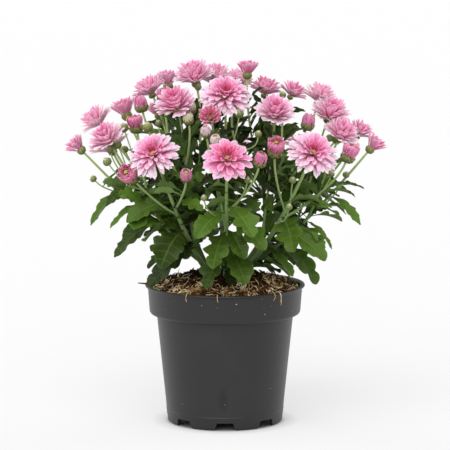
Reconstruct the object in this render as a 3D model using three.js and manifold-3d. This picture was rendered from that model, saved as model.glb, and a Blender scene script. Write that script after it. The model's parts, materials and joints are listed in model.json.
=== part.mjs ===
// A pot chrysanthemum in its nursery pot, in millimetres, +Z up.
// The origin is the centre of the pot's foot, on the surface that it stands on.
// Six leafy stems stand in holes in the soil and carry open blooms, half-open blooms and buds.
import * as THREE from 'three';
import { mergeVertices } from 'three/addons/utils/BufferGeometryUtils.js';
import Module from 'manifold-3d';

const wasm = await Module();
wasm.setup();

const DEGREE = Math.PI / 180;
const FULL_TURN = 2 * Math.PI;
const GOLDEN_ANGLE = 137.5 * DEGREE; // between one leaf of a stem and the next
const GOLDEN_FRACTION = 0.618034; // steps of an even scatter with no repeats
const UP = new THREE.Vector3(0, 0, 1);
const SEAT_GAP = 0.3; // between two pieces that touch
const SLIVER = 0.002; // edges shorter than this are merged after a join
const WELD = 1e-4; // corners of one surface closer than this are one corner

// Pot: a thin moulded wall with a collar, a small lip, a foot ring and drainage.
const POT = {
  height: 104,
  lipRadius: 60,
  lipThickness: 1.1,
  lipFillet: 1,
  collarTopRadius: 58,
  collarBottomRadius: 56.5,
  collarBottom: 82,
  collarCorner: 2.6,
  bodyTopRadius: 51.4,
  bodyBottomRadius: 44.5,
  bodyBottom: 15,
  footRadius: 43,
  footRound: 2.5,
  footFlare: 0.7,
  wall: 1.3,
  footRingWidth: 2,
  floorUnderside: 6.6,
  floorTop: 8.2,
  segments: 36,
};
const NOTCH = { count: 8, topWidth: 12, bottomWidth: 16.5, height: 6, inner: 38, outer: 48, overcut: 1 };
const DRAIN = { width: 7, inner: 33.5, outer: 39 };

// Soil: it fills the pot to just under the rim and heaps up to the middle. Two waves across its
// top, each [radians per mm along X, along Y], make it uneven.
const SOIL = {
  segments: 18,
  rimDrop: 3.5,
  mound: 12,
  rings: [0.8, 0.56, 0.3],
  bump: 0.55,
  waves: [[0.31, 0.17], [-0.23, 0.43]],
  levelEdge: 0.5,
};

// Stems: round stalks, thicker the more heads they carry, that stand in plain holes.
const STALK = {
  step: 36,
  fewestSteps: 2,
  mostSteps: 5,
  footRadius: 2.2,
  branchRadius: 1.76,
  tipRadius: 0.95,
  perHead: 0.16,
  budRadius: 0.7,
  spread: 0.8,
  startPull: 0.3,
  endPull: 0.28,
  holeDepth: 14,
  clearOfSoil: 2,
};
const HOLE_SIDES = 8;
const ROOT_STEP = 1; // between the places tried along a stalk for the root of a leaf

// Leaves: thin arched blades, cut into lobes low on the plant and narrow near the heads.
// `low` and `high` values are those of the lowest and highest leaves that a rule places, and a
// `gap` is what a leaf keeps from the thing named. Places on an outline are [share of the length,
// half width as a share of the length].
const LEAF = {
  thickness: 0.7,
  fold: 0.22,
  arch: 0.14,
  sideGap: 0.7,
  headGap: 1,
  soilGap: 2,
  rimGap: 2,
  petiole: 0.3,
  stalkGap: 3,
  leafGap: 5,
  spacing: 28,
  lowest: 122,
  highest: 232,
  lowLength: 36,
  highLength: 18,
  lowRise: -12,
  highRise: 38,
  rollSway: 30,
  lobedBelow: 152,
  cutBelow: 196,
  tries: 9,
};
const LOBED = {
  outline: [[0.26, 0.035], [0.43, 0.24], [0.52, 0.12], [0.71, 0.29], [0.78, 0.14]],
  midrib: [0.47, 0.75],
};
const CUT = { outline: [[0.26, 0.04], [0.55, 0.25], [0.66, 0.14]], midrib: [0.58] };
const NARROW = { outline: [[0.5, 0.14]], midrib: [0.55] };

// Heads, as shares of a head's radius. A core of staggered rings, [radius, height] each, carries
// one petal on every second facet of a band. A petal runs out to its widest place and then to its
// tip, each [radius, height], and is `width` across. One that curves in again has a `back` behind
// its widest place. The eye is the top of the core. The cup of the calyx, [radius, height] too,
// joins the petals to the stalk, which ends `neck` below them. The middle of the whole head is
// `middle` above the place where the petals begin.
const HEAD_KINDS = {
  open: {
    stalkSides: 4,
    petals: 9,
    petalsWhenSmall: 8,
    core: [[0.27, 0], [0.34, 0.13], [0.27, 0.3], [0.15, 0.4]],
    eye: 0.44,
    layers: [
      { wide: [0.78, 0.2], tip: [1, 0.1], width: 0.45 },
      { wide: [0.62, 0.5], tip: [0.82, 0.52], width: 0.38 },
      { wide: [0.34, 0.68], tip: [0.47, 0.84], width: 0.21 },
    ],
    neck: 0.3,
    cup: [[0.27, -0.16], [0.3, 0]],
    middle: 0.3,
  },
  half: {
    stalkSides: 5,
    petals: 7,
    core: [[0.5, 0], [0.56, 0.22], [0.36, 0.55]],
    eye: 0.66,
    layers: [
      { wide: [0.72, 0.68], tip: [1, 1.05], width: 0.56 },
      { wide: [0.38, 0.9], tip: [0.55, 1.25], width: 0.3 },
    ],
    neck: 0.66,
    cup: [[0.5, -0.34], [0.56, 0]],
    middle: 0.5,
  },
  opening: {
    stalkSides: 4,
    petals: 7,
    core: [[0.6, 0], [0.84, 0.5], [0.5, 1.3]],
    eye: 1.55,
    layers: [{ wide: [0.92, 0.95], back: [1.02, 0.9], tip: [0.66, 1.6], width: 0.7 }],
    neck: 0.8,
    cup: [[0.6, -0.4], [0.66, 0]],
    middle: 0.7,
  },
  closed: {
    stalkSides: 4,
    petals: 6,
    core: [[0.6, 0], [0.94, 0.5], [1, 1.05], [0.6, 1.62]],
    eye: 1.85,
    layers: [],
    neck: 0.72,
    cup: [[0.62, -0.36], [0.72, 0]],
    middle: 0.6,
  },
  green: {
    stalkSides: 4,
    core: [],
    layers: [],
    neck: 0,
    cup: [[0.45, 0], [1, 0.85], [0.7, 1.6]],
    middle: 0,
  },
};
const SMALL_BLOOM = 36; // a bloom less wide than this has fewer petals in a layer
const PETAL_SWAY = 0.045; // how far one petal's tip differs from the next
const SWAY_STEP = 7; // between the scatters of one head and the next

// Materials: a display sRGB colour and a roughness.
const FINISHES = {
  pot: [0x434344, 0.45],
  soil: [0x3a281c, 1],
  foliage: [0x44702c, 0.75],
  petals: [0xee9cc6, 0.7],
  bud: [0xd5618f, 0.7],
};

// Layout. Bearings are degrees anticlockwise from +X, and the view from the front looks along +Y.
// A stem fills the wedge between two bearings. Its first head ends the main stalk, and each other
// head's stalk springs from the stalk of the head named in `on`, at that share of its length.
// A head stands at `at`, leans to [bearing, degrees from upright] and is `size` across.
const STEMS = [
  {
    name: 'leafy_stem_front',
    foot: { bearing: -86, radius: 15 },
    wedge: [-105, -66],
    heads: [
      { id: 'A', kind: 'open', at: [2.6, -88, 210], lean: [-88, 46], size: 36 },
      { id: 'D', kind: 'open', at: [0.4, -35, 251], lean: [-90, 35], size: 39, on: 'A', share: 0.16 },
      { id: 'a', kind: 'half', at: [-10.5, -55, 236], lean: [-96, 58], size: 17, on: 'D', share: 0.45 },
      { id: 'e', kind: 'closed', at: [25.6, -82, 208], lean: [-60, 22], size: 9.5, on: 'A', share: 0.58 },
      { id: 'j', kind: 'closed', at: [-7, -66, 220], lean: [-95, 30], size: 8, on: 'A', share: 0.42 },
      { id: 'k', kind: 'closed', at: [-14, -62, 226], lean: [-110, 25], size: 7.7, on: 'D', share: 0.38 },
      { id: 'n', kind: 'green', at: [10, -42, 234], lean: [-80, 15], size: 7, on: 'D', share: 0.62 },
      { id: 'u', kind: 'green', at: [-15, -80, 178], lean: [-105, 25], size: 4.5, on: 'A', share: 0.5 },
    ],
    leaves: [
      { on: 'A', tip: [20, -88, 152], long: 30, wide: 1.2, roll: 12 },
      { on: 'A', tip: [-21, -80, 150], long: 30, wide: 0.95, roll: -35 },
      { on: 'A', tip: [29, -77, 141], long: 32, wide: 0.95, roll: 30 },
      { on: 'A', tip: [14, -74, 134], long: 32, wide: 0.95, roll: 15 },
      { on: 'A', tip: [-9, -80, 128], long: 34, wide: 1.05, roll: -10 },
      { on: 'A', tip: [15, -66, 114], long: 34, wide: 1.1, roll: 10 },
      { on: 'A', tip: [-14, -63, 111], long: 32, wide: 1, roll: -5 },
    ],
  },
  {
    name: 'leafy_stem_front_left',
    foot: { bearing: -142, radius: 15 },
    wedge: [-178, -105],
    heads: [
      { id: 'B', kind: 'open', at: [-52, -72, 211], lean: [-106, 50], size: 37 },
      { id: 'c', kind: 'opening', at: [-70, -69.5, 195.5], lean: [-122, 55], size: 13, on: 'B', share: 0.52 },
      { id: 'd', kind: 'closed', at: [-28, -78, 196], lean: [-90, 50], size: 9.3, on: 'B', share: 0.56 },
      { id: 'E', kind: 'open', at: [-37, -38, 246], lean: [-116, 33], size: 32, on: 'B', share: 0.2 },
      { id: 'L', kind: 'open', at: [-88, -35, 219], lean: [-152, 40], size: 29, on: 'B', share: 0.14 },
      { id: 'M', kind: 'half', at: [-111, -8, 210], lean: [-176, 45], size: 17, on: 'L', share: 0.42 },
      { id: 'f', kind: 'opening', at: [-66.5, -18, 228], lean: [-160, 12], size: 11.5, on: 'L', share: 0.5 },
      { id: 'l', kind: 'closed', at: [-27, -45, 234], lean: [-115, 20], size: 8, on: 'E', share: 0.6 },
      { id: 'm', kind: 'closed', at: [-25, -30, 240], lean: [-110, 10], size: 7.5, on: 'E', share: 0.66 },
      { id: 'o', kind: 'green', at: [-74, -20, 221], lean: [-170, 20], size: 7.4, on: 'f', share: 0.4 },
      { id: 'p', kind: 'green', at: [-56, -35, 223], lean: [-150, 12], size: 7.4, on: 'E', share: 0.5 },
      { id: 'q', kind: 'green', at: [-78, -30, 210], lean: [-165, 25], size: 6, on: 'L', share: 0.68 },
      { id: 's', kind: 'green', at: [-85, -40, 199], lean: [-155, 35], size: 6.4, on: 'L', share: 0.6 },
      { id: 't', kind: 'green', at: [-96, -25, 185], lean: [-170, 40], size: 5, on: 'M', share: 0.4 },
    ],
    leaves: [
      { on: 'M', tip: [-100, -13, 150], long: 36, wide: 0.8, roll: -40 },
      { on: 'L', tip: [-85, -27, 150], long: 32, wide: 0.8, roll: -25 },
      { on: 'L', tip: [-82, -26, 128], long: 36, wide: 0.95, roll: -40 },
      { on: 'B', tip: [-47, -66, 126], long: 36, wide: 1.15, roll: -20 },
      { on: 'B', tip: [-56, -35, 107], long: 36, wide: 0.95, roll: -30 },
      { on: 'L', tip: [-48, -17, 117], long: 30, wide: 0.75, roll: -20 },
      { on: 'L', tip: [-88, -32, 167], long: 36, wide: 1, roll: -50 },
      { on: 'B', tip: [-72, -47, 157], long: 34, wide: 0.95, roll: -40 },
      { on: 'B', tip: [-16, -62, 168], long: 28, wide: 0.8, roll: 40 },
    ],
  },
  {
    name: 'leafy_stem_front_right',
    foot: { bearing: -34, radius: 15 },
    wedge: [-66, 3.5],
    heads: [
      { id: 'C', kind: 'open', at: [63, -68, 211], lean: [-74, 50], size: 37 },
      { id: 'b', kind: 'opening', at: [37, -62, 215], lean: [-80, 40], size: 13, on: 'C', share: 0.54 },
      { id: 'F', kind: 'open', at: [37, -40, 240], lean: [-84, 30], size: 30, on: 'C', share: 0.2 },
      { id: 'U', kind: 'half', at: [112, 0, 210], lean: [0, 40], size: 17, on: 'C', share: 0.13 },
      { id: 'S', kind: 'open', at: [79.5, 0, 235], lean: [-45, 27], size: 31, on: 'U', share: 0.3 },
      { id: 'T', kind: 'open', at: [87, -22, 222], lean: [-38, 30], size: 28, on: 'U', share: 0.42 },
      { id: 'i', kind: 'opening', at: [92, -34, 208], lean: [-12, 22], size: 12, on: 'C', share: 0.48 },
      { id: 'h', kind: 'closed', at: [61.5, -22, 229], lean: [0, 10], size: 10.5, on: 'F', share: 0.34 },
      { id: 'v', kind: 'green', at: [46, -72, 170], lean: [-60, 20], size: 5, on: 'C', share: 0.46 },
      { id: 'y', kind: 'green', at: [77, -20, 214], lean: [-20, 10], size: 5.6, on: 'T', share: 0.55 },
      { id: 'cc', kind: 'green', at: [49, -60, 188], lean: [-60, 15], size: 5, on: 'C', share: 0.62 },
    ],
    leaves: [
      { on: 'C', tip: [50, -72, 139], long: 31, wide: 1.05, roll: 25 },
      { on: 'C', tip: [50, -35, 115], long: 34, wide: 0.85, roll: 10 },
      { on: 'U', tip: [68, -22, 107], long: 36, wide: 0.9, roll: 30 },
      { on: 'C', tip: [74, -37, 127], long: 36, wide: 0.95, roll: 40 },
      { on: 'U', tip: [80, -6, 131], long: 32, wide: 0.75, roll: 30 },
      { on: 'U', tip: [101, -10, 150], long: 36, wide: 0.85, roll: 45 },
      { on: 'i', tip: [79, -32, 166], long: 30, wide: 0.9, roll: 40 },
      { on: 'U', tip: [104, -2, 176], long: 26, wide: 0.7, roll: 20 },
    ],
  },
  {
    name: 'leafy_stem_back_right',
    foot: { bearing: 34, radius: 15 },
    wedge: [3.5, 66],
    heads: [
      { id: 'R', kind: 'open', at: [72, 28, 245], lean: [30, 18], size: 27 },
      { id: 'Q', kind: 'open', at: [52, 22, 248], lean: [12, 30], size: 22, on: 'R', share: 0.45 },
      { id: 'P', kind: 'open', at: [31, 32, 250], lean: [40, 12], size: 26, on: 'R', share: 0.25 },
      { id: 'CN', kind: 'open', at: [7, 4, 241], lean: [20, 10], size: 26, on: 'P', share: 0.28 },
      { id: 'N', kind: 'half', at: [17, 20, 265], lean: [45, 4], size: 17, on: 'P', share: 0.3 },
      { id: 'T2', kind: 'open', at: [102, 14, 219], lean: [12, 28], size: 22, on: 'R', share: 0.3 },
      { id: 'BK2', kind: 'open', at: [62, 80, 200], lean: [52, 50], size: 34, on: 'R', share: 0.2 },
      { id: 'BK6', kind: 'open', at: [90, 45, 214], lean: [27, 45], size: 32, on: 'R', share: 0.35 },
      { id: 'BH2', kind: 'half', at: [44, 62, 228], lean: [55, 25], size: 17, on: 'P', share: 0.35 },
      { id: 'w', kind: 'green', at: [43, 14, 243], lean: [-30, 10], size: 5, on: 'P', share: 0.65 },
      { id: 'BG2', kind: 'green', at: [62, 52, 212], lean: [40, 20], size: 6.5, on: 'R', share: 0.5 },
    ],
    leaves: [
      { on: 'R', tip: [72, 40, 128], long: 36, wide: 1, roll: 15 },
      { on: 'R', tip: [56, 40, 110], long: 36, wide: 1, roll: 0 },
      { on: 'R', tip: [92, 32, 152], long: 36, wide: 0.95, roll: 10 },
      { on: 'BK2', tip: [48, 72, 132], long: 36, wide: 1.1, roll: -10 },
      { on: 'BK2', tip: [74, 72, 156], long: 36, wide: 1, roll: 10 },
      { on: 'T2', tip: [98, 12, 168], long: 36, wide: 0.9, roll: 0 },
    ],
  },
  {
    name: 'leafy_stem_back',
    foot: { bearing: 89, radius: 15 },
    wedge: [66, 112],
    heads: [
      { id: 'BK4', kind: 'open', at: [-8, 72, 233], lean: [96, 32], size: 34 },
      { id: 'BK3', kind: 'open', at: [4, 89, 200], lean: [88, 50], size: 36, on: 'BK4', share: 0.3 },
      { id: 'O', kind: 'open', at: [10, 62, 253], lean: [80, 18], size: 26, on: 'BK4', share: 0.35 },
      { id: 'G2', kind: 'open', at: [-8, 42, 263.5], lean: [70, 14], size: 30, on: 'BK4', share: 0.2 },
      { id: 'BG3', kind: 'green', at: [-20, 88, 208], lean: [105, 30], size: 6, on: 'BK3', share: 0.5 },
    ],
    leaves: [
      { on: 'BK4', tip: [8, 66, 112], long: 36, wide: 1.1, roll: 10 },
      { on: 'BK4', tip: [-16, 76, 126], long: 36, wide: 1.05, roll: -10 },
      { on: 'BK4', tip: [24, 78, 142], long: 34, wide: 1, roll: 10 },
      { on: 'BK3', tip: [-14, 94, 154], long: 36, wide: 0.95, roll: -15 },
      { on: 'BK3', tip: [16, 96, 168], long: 36, wide: 0.9, roll: 15 },
    ],
  },
  {
    name: 'leafy_stem_back_left',
    foot: { bearing: 147, radius: 15 },
    wedge: [112, 182],
    heads: [
      { id: 'H', kind: 'open', at: [-58, 20, 251], lean: [162, 28], size: 27 },
      { id: 'G', kind: 'open', at: [-23.5, 15, 262], lean: [110, 8], size: 32, on: 'H', share: 0.2 },
      { id: 'K', kind: 'half', at: [-76, 20, 235], lean: [172, 20], size: 20, on: 'H', share: 0.42 },
      { id: 'J', kind: 'open', at: [-97.5, 5, 229], lean: [176, 42], size: 28, on: 'H', share: 0.26 },
      { id: 'I', kind: 'half', at: [-44, 48, 254], lean: [130, 12], size: 19, on: 'H', share: 0.34 },
      { id: 'BK1', kind: 'open', at: [-52, 82, 200], lean: [122, 50], size: 35, on: 'H', share: 0.18 },
      { id: 'BK5', kind: 'open', at: [-90, 36, 204], lean: [158, 45], size: 32, on: 'H', share: 0.22 },
      { id: 'BH1', kind: 'half', at: [-52, 58, 230], lean: [130, 28], size: 17, on: 'I', share: 0.4 },
      { id: 'g', kind: 'closed', at: [-63, 1, 240], lean: [180, 14], size: 10.5, on: 'H', share: 0.5 },
      { id: 'V', kind: 'closed', at: [-47, 6, 246], lean: [190, 10], size: 9, on: 'H', share: 0.62 },
      { id: 'BG5', kind: 'green', at: [-76, 62, 196], lean: [140, 35], size: 6, on: 'BK5', share: 0.4 },
    ],
    leaves: [
      { on: 'H', tip: [-58, 34, 110], long: 36, wide: 1, roll: 0 },
      { on: 'BK5', tip: [-78, 32, 130], long: 36, wide: 1, roll: 0 },
      { on: 'BK5', tip: [-96, 20, 152], long: 36, wide: 0.9, roll: 10 },
      { on: 'BK1', tip: [-46, 70, 128], long: 36, wide: 1.1, roll: 10 },
      { on: 'BK1', tip: [-66, 76, 154], long: 36, wide: 1, roll: -10 },
      { on: 'J', tip: [-92, 6, 176], long: 36, wide: 0.85, roll: 10 },
    ],
  },
];

// ---------------------------------------------------------------- solids and meshes

function solidFrom(positions, triangles) {
  const mesh = new wasm.Mesh({
    numProp: 3,
    vertProperties: Float32Array.from(positions),
    triVerts: Uint32Array.from(triangles),
  });
  return new wasm.Manifold(mesh);
}

// A closed three.js geometry as a solid: vertices merged and collapsed triangles left out.
function solidOf(geometry) {
  geometry.deleteAttribute('normal');
  geometry.deleteAttribute('uv');
  const merged = mergeVertices(geometry, WELD);
  const index = merged.index.array;
  const triangles = [];
  for (let t = 0; t < index.length; t += 3) {
    const [a, b, c] = index.slice(t, t + 3);
    if (a !== b && b !== c && c !== a) triangles.push(a, b, c);
  }
  return solidFrom(merged.attributes.position.array, triangles);
}

function meshOf(name, solid, material) {
  const { vertProperties, triVerts } = solid.simplify(SLIVER).getMesh();
  const geometry = new THREE.BufferGeometry();
  geometry.setAttribute('position', new THREE.BufferAttribute(vertProperties, 3));
  geometry.setIndex(new THREE.BufferAttribute(triVerts, 1));
  const mesh = new THREE.Mesh(geometry, material);
  mesh.name = name;
  return mesh;
}

function finish([color, roughness]) {
  return new THREE.MeshStandardMaterial({ color, roughness, metalness: 0 });
}

// A profile of [radius, height] turned about the Z axis.
function turned(profile, segments) {
  const points = profile.map(([radius, height]) => new THREE.Vector2(radius, height));
  const geometry = new THREE.LatheGeometry(points, segments);
  geometry.rotateX(Math.PI / 2);
  return geometry;
}

// An even scatter from -1 to 1 that never repeats.
function sway(index) {
  return 2 * ((index * GOLDEN_FRACTION) % 1) - 1;
}

// ---------------------------------------------------------------- pot and soil

// The pot's inner wall from the floor to the lip, as [radius, height].
function innerWall(gap) {
  const shoulder = POT.collarBottom + POT.wall;
  return [
    [POT.footRadius - POT.wall - gap, POT.floorTop + gap],
    [POT.bodyTopRadius - POT.wall - gap, shoulder + gap],
    [POT.collarBottomRadius - POT.wall - gap, shoulder + POT.wall + gap],
  ];
}

function makePot() {
  const footInner = POT.footRadius - POT.footRingWidth;
  const lipUnderside = POT.height - POT.lipThickness;
  const outside = [
    [footInner, 0],
    [POT.footRadius, 0],
    [POT.footRadius + POT.footFlare, POT.footRound],
    [POT.bodyBottomRadius, POT.bodyBottom],
    [POT.bodyTopRadius, POT.collarBottom],
    [POT.collarBottomRadius - POT.collarCorner, POT.collarBottom],
    [POT.collarBottomRadius, POT.collarBottom + POT.collarCorner],
    [POT.collarTopRadius, lipUnderside - POT.lipFillet],
    [POT.lipRadius, lipUnderside],
    [POT.lipRadius, POT.height],
    [POT.collarTopRadius - POT.wall, POT.height],
  ];
  const underside = [[0, POT.floorUnderside], [footInner, POT.floorUnderside]];
  const inside = [...innerWall(0).reverse(), [0, POT.floorTop]];
  let pot = solidOf(turned([...underside, ...outside, ...inside], POT.segments));
  for (let k = 0; k < NOTCH.count; k++) {
    const bearing = -90 * DEGREE + (k / NOTCH.count) * FULL_TURN;
    pot = pot.subtract(notchCutter(bearing)).subtract(drainCutter(bearing));
  }
  return meshOf('pot', pot, finish(FINISHES.pot));
}

// A trapezium through the foot ring, wide at the bottom.
function notchCutter(bearing) {
  const outline = new THREE.Shape([
    new THREE.Vector2(-NOTCH.bottomWidth / 2, -NOTCH.overcut),
    new THREE.Vector2(NOTCH.bottomWidth / 2, -NOTCH.overcut),
    new THREE.Vector2(NOTCH.topWidth / 2, NOTCH.height),
    new THREE.Vector2(-NOTCH.topWidth / 2, NOTCH.height),
  ]);
  const depth = NOTCH.outer - NOTCH.inner;
  const geometry = new THREE.ExtrudeGeometry(outline, { depth, bevelEnabled: false });
  geometry.rotateX(Math.PI / 2);
  geometry.rotateZ(Math.PI / 2);
  geometry.translate(NOTCH.inner, 0, 0);
  geometry.rotateZ(bearing);
  return solidOf(geometry);
}

// A drainage hole through the floor, just inside its notch.
function drainCutter(bearing) {
  const length = DRAIN.outer - DRAIN.inner;
  const geometry = new THREE.BoxGeometry(length, DRAIN.width, POT.floorTop);
  geometry.translate(DRAIN.inner + length / 2, 0, POT.floorTop);
  geometry.rotateZ(bearing);
  return solidOf(geometry);
}

// Height of the soil's smooth surface at a distance from the pot's axis.
function soilHeight(radius) {
  const share = Math.min(radius / POT.collarTopRadius, 1);
  return POT.height - SOIL.rimDrop + SOIL.mound * (1 - share * share);
}

function makeSoil() {
  const wall = innerWall(SEAT_GAP);
  const [collarRadius, collarHeight] = wall[wall.length - 1];
  const climb = (POT.height - SOIL.rimDrop - collarHeight) / (POT.height - collarHeight);
  const edge = THREE.MathUtils.lerp(collarRadius, POT.collarTopRadius - POT.wall - SEAT_GAP, climb);
  const rings = SOIL.rings.map((share) => [share * edge, soilHeight(share * edge)]);
  const rim = [edge, soilHeight(edge)];
  const profile = [[0, wall[0][1]], ...wall, rim, ...rings, [0, soilHeight(0)]];
  const geometry = turned(profile, SOIL.segments);
  crumble(geometry);
  let soil = solidOf(geometry);
  for (const stem of STEMS) soil = soil.subtract(holeCutter(stem));
  return meshOf('soil', soil, finish(FINISHES.soil));
}

// The top of the soil rises and falls, but not where it meets the pot.
function crumble(geometry) {
  const place = geometry.attributes.position;
  for (let k = 0; k < place.count; k++) {
    const [x, y, z] = [place.getX(k), place.getY(k), place.getZ(k)];
    if (z < POT.height - SOIL.rimDrop + SOIL.levelEdge) continue;
    const height = SOIL.waves.reduce((sum, [byX, byY]) => sum + Math.sin(x * byX + y * byY), 0);
    place.setZ(k, z + SOIL.bump * height);
  }
}

function stemFoot(stem) {
  const bearing = stem.foot.bearing * DEGREE;
  const x = stem.foot.radius * Math.cos(bearing);
  const y = stem.foot.radius * Math.sin(bearing);
  return new THREE.Vector3(x, y, soilHeight(stem.foot.radius) - STALK.holeDepth);
}

function holeCutter(stem) {
  const foot = stemFoot(stem);
  const flatToCentre = STALK.footRadius + SEAT_GAP;
  const radius = flatToCentre / Math.cos(Math.PI / HOLE_SIDES);
  const depth = 3 * STALK.holeDepth;
  const geometry = new THREE.CylinderGeometry(radius, radius, depth, HOLE_SIDES);
  geometry.rotateX(Math.PI / 2);
  geometry.translate(foot.x, foot.y, foot.z - SEAT_GAP + depth / 2);
  return solidOf(geometry);
}

// ---------------------------------------------------------------- heads

// The unit vector that leans from upright toward a bearing, both in degrees.
function leaning([bearing, tilt]) {
  const out = Math.sin(tilt * DEGREE);
  return new THREE.Vector3(
    out * Math.cos(bearing * DEGREE),
    out * Math.sin(bearing * DEGREE),
    Math.cos(tilt * DEGREE),
  );
}

// Where a head's petals end and its calyx begins, on the head's own axis.
function headSeat(head) {
  const radius = head.size / 2;
  const { middle } = HEAD_KINDS[head.kind];
  return new THREE.Vector3(...head.at).addScaledVector(leaning(head.lean), -middle * radius);
}

function petalCount(head) {
  const { petals, petalsWhenSmall } = HEAD_KINDS[head.kind];
  return head.size < SMALL_BLOOM && petalsWhenSmall ? petalsWhenSmall : petals;
}

// Petals raised from the facets of a core, in the head's own frame, with its axis along +Z.
function petalledSolid(head, seed) {
  const { core, eye, layers } = HEAD_KINDS[head.kind];
  const petals = petalCount(head);
  const radius = head.size / 2;
  const positions = [];
  const triangles = [];
  const addPoint = (out, turn, height) => {
    const angle = (turn / petals) * FULL_TURN;
    positions.push(radius * out * Math.cos(angle), radius * out * Math.sin(angle), radius * height);
    return positions.length / 3 - 1;
  };
  const rings = core.map(([out, height], band) => {
    const stagger = (band % 2) / 2;
    return Array.from({ length: petals }, (_, k) => addPoint(out, k + stagger, height));
  });
  const next = (k) => (k + 1) % petals;
  for (let band = 0; band + 1 < rings.length; band++) {
    const [lower, upper] = [rings[band], rings[band + 1]];
    const odd = band % 2;
    for (let k = 0; k < petals; k++) {
      const apex = odd ? next(k) : k;
      triangles.push(lower[k], lower[next(k)], upper[apex]);
      const left = odd ? next(k) : k;
      const right = odd ? k : (k + petals - 1) % petals;
      const root = [lower[k], upper[left], upper[right]];
      if (!layers[band]) {
        triangles.push(...root);
        continue;
      }
      const turn = k + odd / 2;
      raisePetal(root, layers[band], turn, sway(seed + band * petals + k));
    }
  }
  const top = addPoint(0, 0, eye);
  const last = rings.length - 1;
  for (let k = 0; k < petals; k++) triangles.push(rings[last][k], rings[last][next(k)], top);
  for (let k = 1; k + 1 < petals; k++) triangles.push(rings[0][0], rings[0][k + 1], rings[0][k]);
  return solidFrom(positions, triangles);

  // The underside is a ridge from the root's lowest corner to the tip, and the top is arched.
  function raisePetal([keel, left, right], { wide, back, tip, width }, turn, differs) {
    const halfTurn = (Math.asin(width / 2 / wide[0]) / FULL_TURN) * petals;
    const lift = PETAL_SWAY * differs;
    const wideLeft = addPoint(wide[0], turn + halfTurn, wide[1] + lift);
    const wideRight = addPoint(wide[0], turn - halfTurn, wide[1] + lift);
    const end = addPoint(tip[0] * (1 - Math.abs(lift)), turn, tip[1] + lift);
    triangles.push(left, right, wideRight, left, wideRight, wideLeft, wideLeft, wideRight, end);
    let behind = keel;
    if (back) {
      behind = addPoint(back[0], turn, back[1] + lift);
      triangles.push(keel, left, behind, right, keel, behind);
    }
    triangles.push(behind, left, wideLeft, right, behind, wideRight);
    triangles.push(behind, wideLeft, end, wideRight, behind, end);
  }
}

const HEAD_NAMES = {
  open: 'bloom',
  half: 'half_open_bloom',
  opening: 'opening_bloom',
  closed: 'pink_bud',
};
const headCounts = {};

function isBloom(head) {
  return head.kind === 'open' || head.kind === 'half';
}

function makeHead(head, seed) {
  headCounts[head.kind] = (headCounts[head.kind] ?? 0) + 1;
  const number = String(headCounts[head.kind]).padStart(2, '0');
  const material = finish(isBloom(head) ? FINISHES.petals : FINISHES.bud);
  const mesh = meshOf(`${HEAD_NAMES[head.kind]}_${number}`, petalledSolid(head, seed), material);
  const axis = leaning(head.lean);
  mesh.quaternion.setFromUnitVectors(UP, axis);
  mesh.position.copy(headSeat(head)).addScaledVector(axis, SEAT_GAP);
  return mesh;
}

// ---------------------------------------------------------------- stalks

// Each head's stalk: it spreads outward first and then rises to meet its head's axis. Its centres
// are those of the tube's rings, and what springs from it starts on the straight lines between.
function makeStalks(stem) {
  const stalks = new Map();
  for (const head of stem.heads) {
    const axis = leaning(head.lean);
    const { neck } = HEAD_KINDS[head.kind];
    const end = headSeat(head).addScaledVector(axis, -neck * (head.size / 2));
    const start = head.on ? placeOn(stalks.get(head.on), head.share) : stemFoot(stem);
    if (!head.on) start.z += STALK.holeDepth + STALK.clearOfSoil;
    const heading = new THREE.Vector3().subVectors(end, start);
    const reach = heading.length();
    heading.multiply(new THREE.Vector3(1 + STALK.spread, 1 + STALK.spread, 1)).normalize();
    const leave = start.clone().addScaledVector(heading, reach * STALK.startPull);
    const arrive = end.clone().addScaledVector(axis, -reach * STALK.endPull);
    const curve = new THREE.CubicBezierCurve3(start, leave, arrive, end);
    const wanted = Math.round(curve.getLength() / STALK.step);
    const steps = THREE.MathUtils.clamp(wanted, STALK.fewestSteps, STALK.mostSteps);
    stalks.set(head.id, { curve, centres: curve.getPoints(steps) });
  }
  return stalks;
}

function placeOn({ centres }, share) {
  const scaled = share * (centres.length - 1);
  const k = Math.min(Math.floor(scaled), centres.length - 2);
  return centres[k].clone().lerp(centres[k + 1], scaled - k);
}

// Places about this far apart along a stalk.
function placesOn(stalk, spacing) {
  const count = Math.ceil(stalk.curve.getLength() / spacing);
  return Array.from({ length: count + 1 }, (_, k) => placeOn(stalk, k / count));
}

function headsCarried(stem, head) {
  const children = stem.heads.filter((other) => other.on === head.id);
  return 1 + children.reduce((sum, child) => sum + headsCarried(stem, child), 0);
}

// A closed tube through rings, each a centre, a direction and a radius.
function tubeSolid(rings, side, count) {
  const positions = [];
  const triangles = [];
  rings.forEach(({ centre, along, radius }) => {
    const across = new THREE.Vector3().crossVectors(along, side).normalize();
    const other = new THREE.Vector3().crossVectors(along, across);
    for (let k = 0; k < count; k++) {
      const angle = (k / count) * FULL_TURN;
      const point = centre.clone()
        .addScaledVector(across, radius * Math.cos(angle))
        .addScaledVector(other, radius * Math.sin(angle));
      positions.push(point.x, point.y, point.z);
    }
  });
  for (let ring = 0; ring + 1 < rings.length; ring++) {
    for (let k = 0; k < count; k++) {
      const a = ring * count + k;
      const b = ring * count + ((k + 1) % count);
      triangles.push(a, b, b + count, a, b + count, a + count);
    }
  }
  const last = (rings.length - 1) * count;
  for (let k = 1; k + 1 < count; k++) {
    triangles.push(0, k + 1, k);
    triangles.push(last, last + k, last + k + 1);
  }
  return solidFrom(positions, triangles);
}

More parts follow.
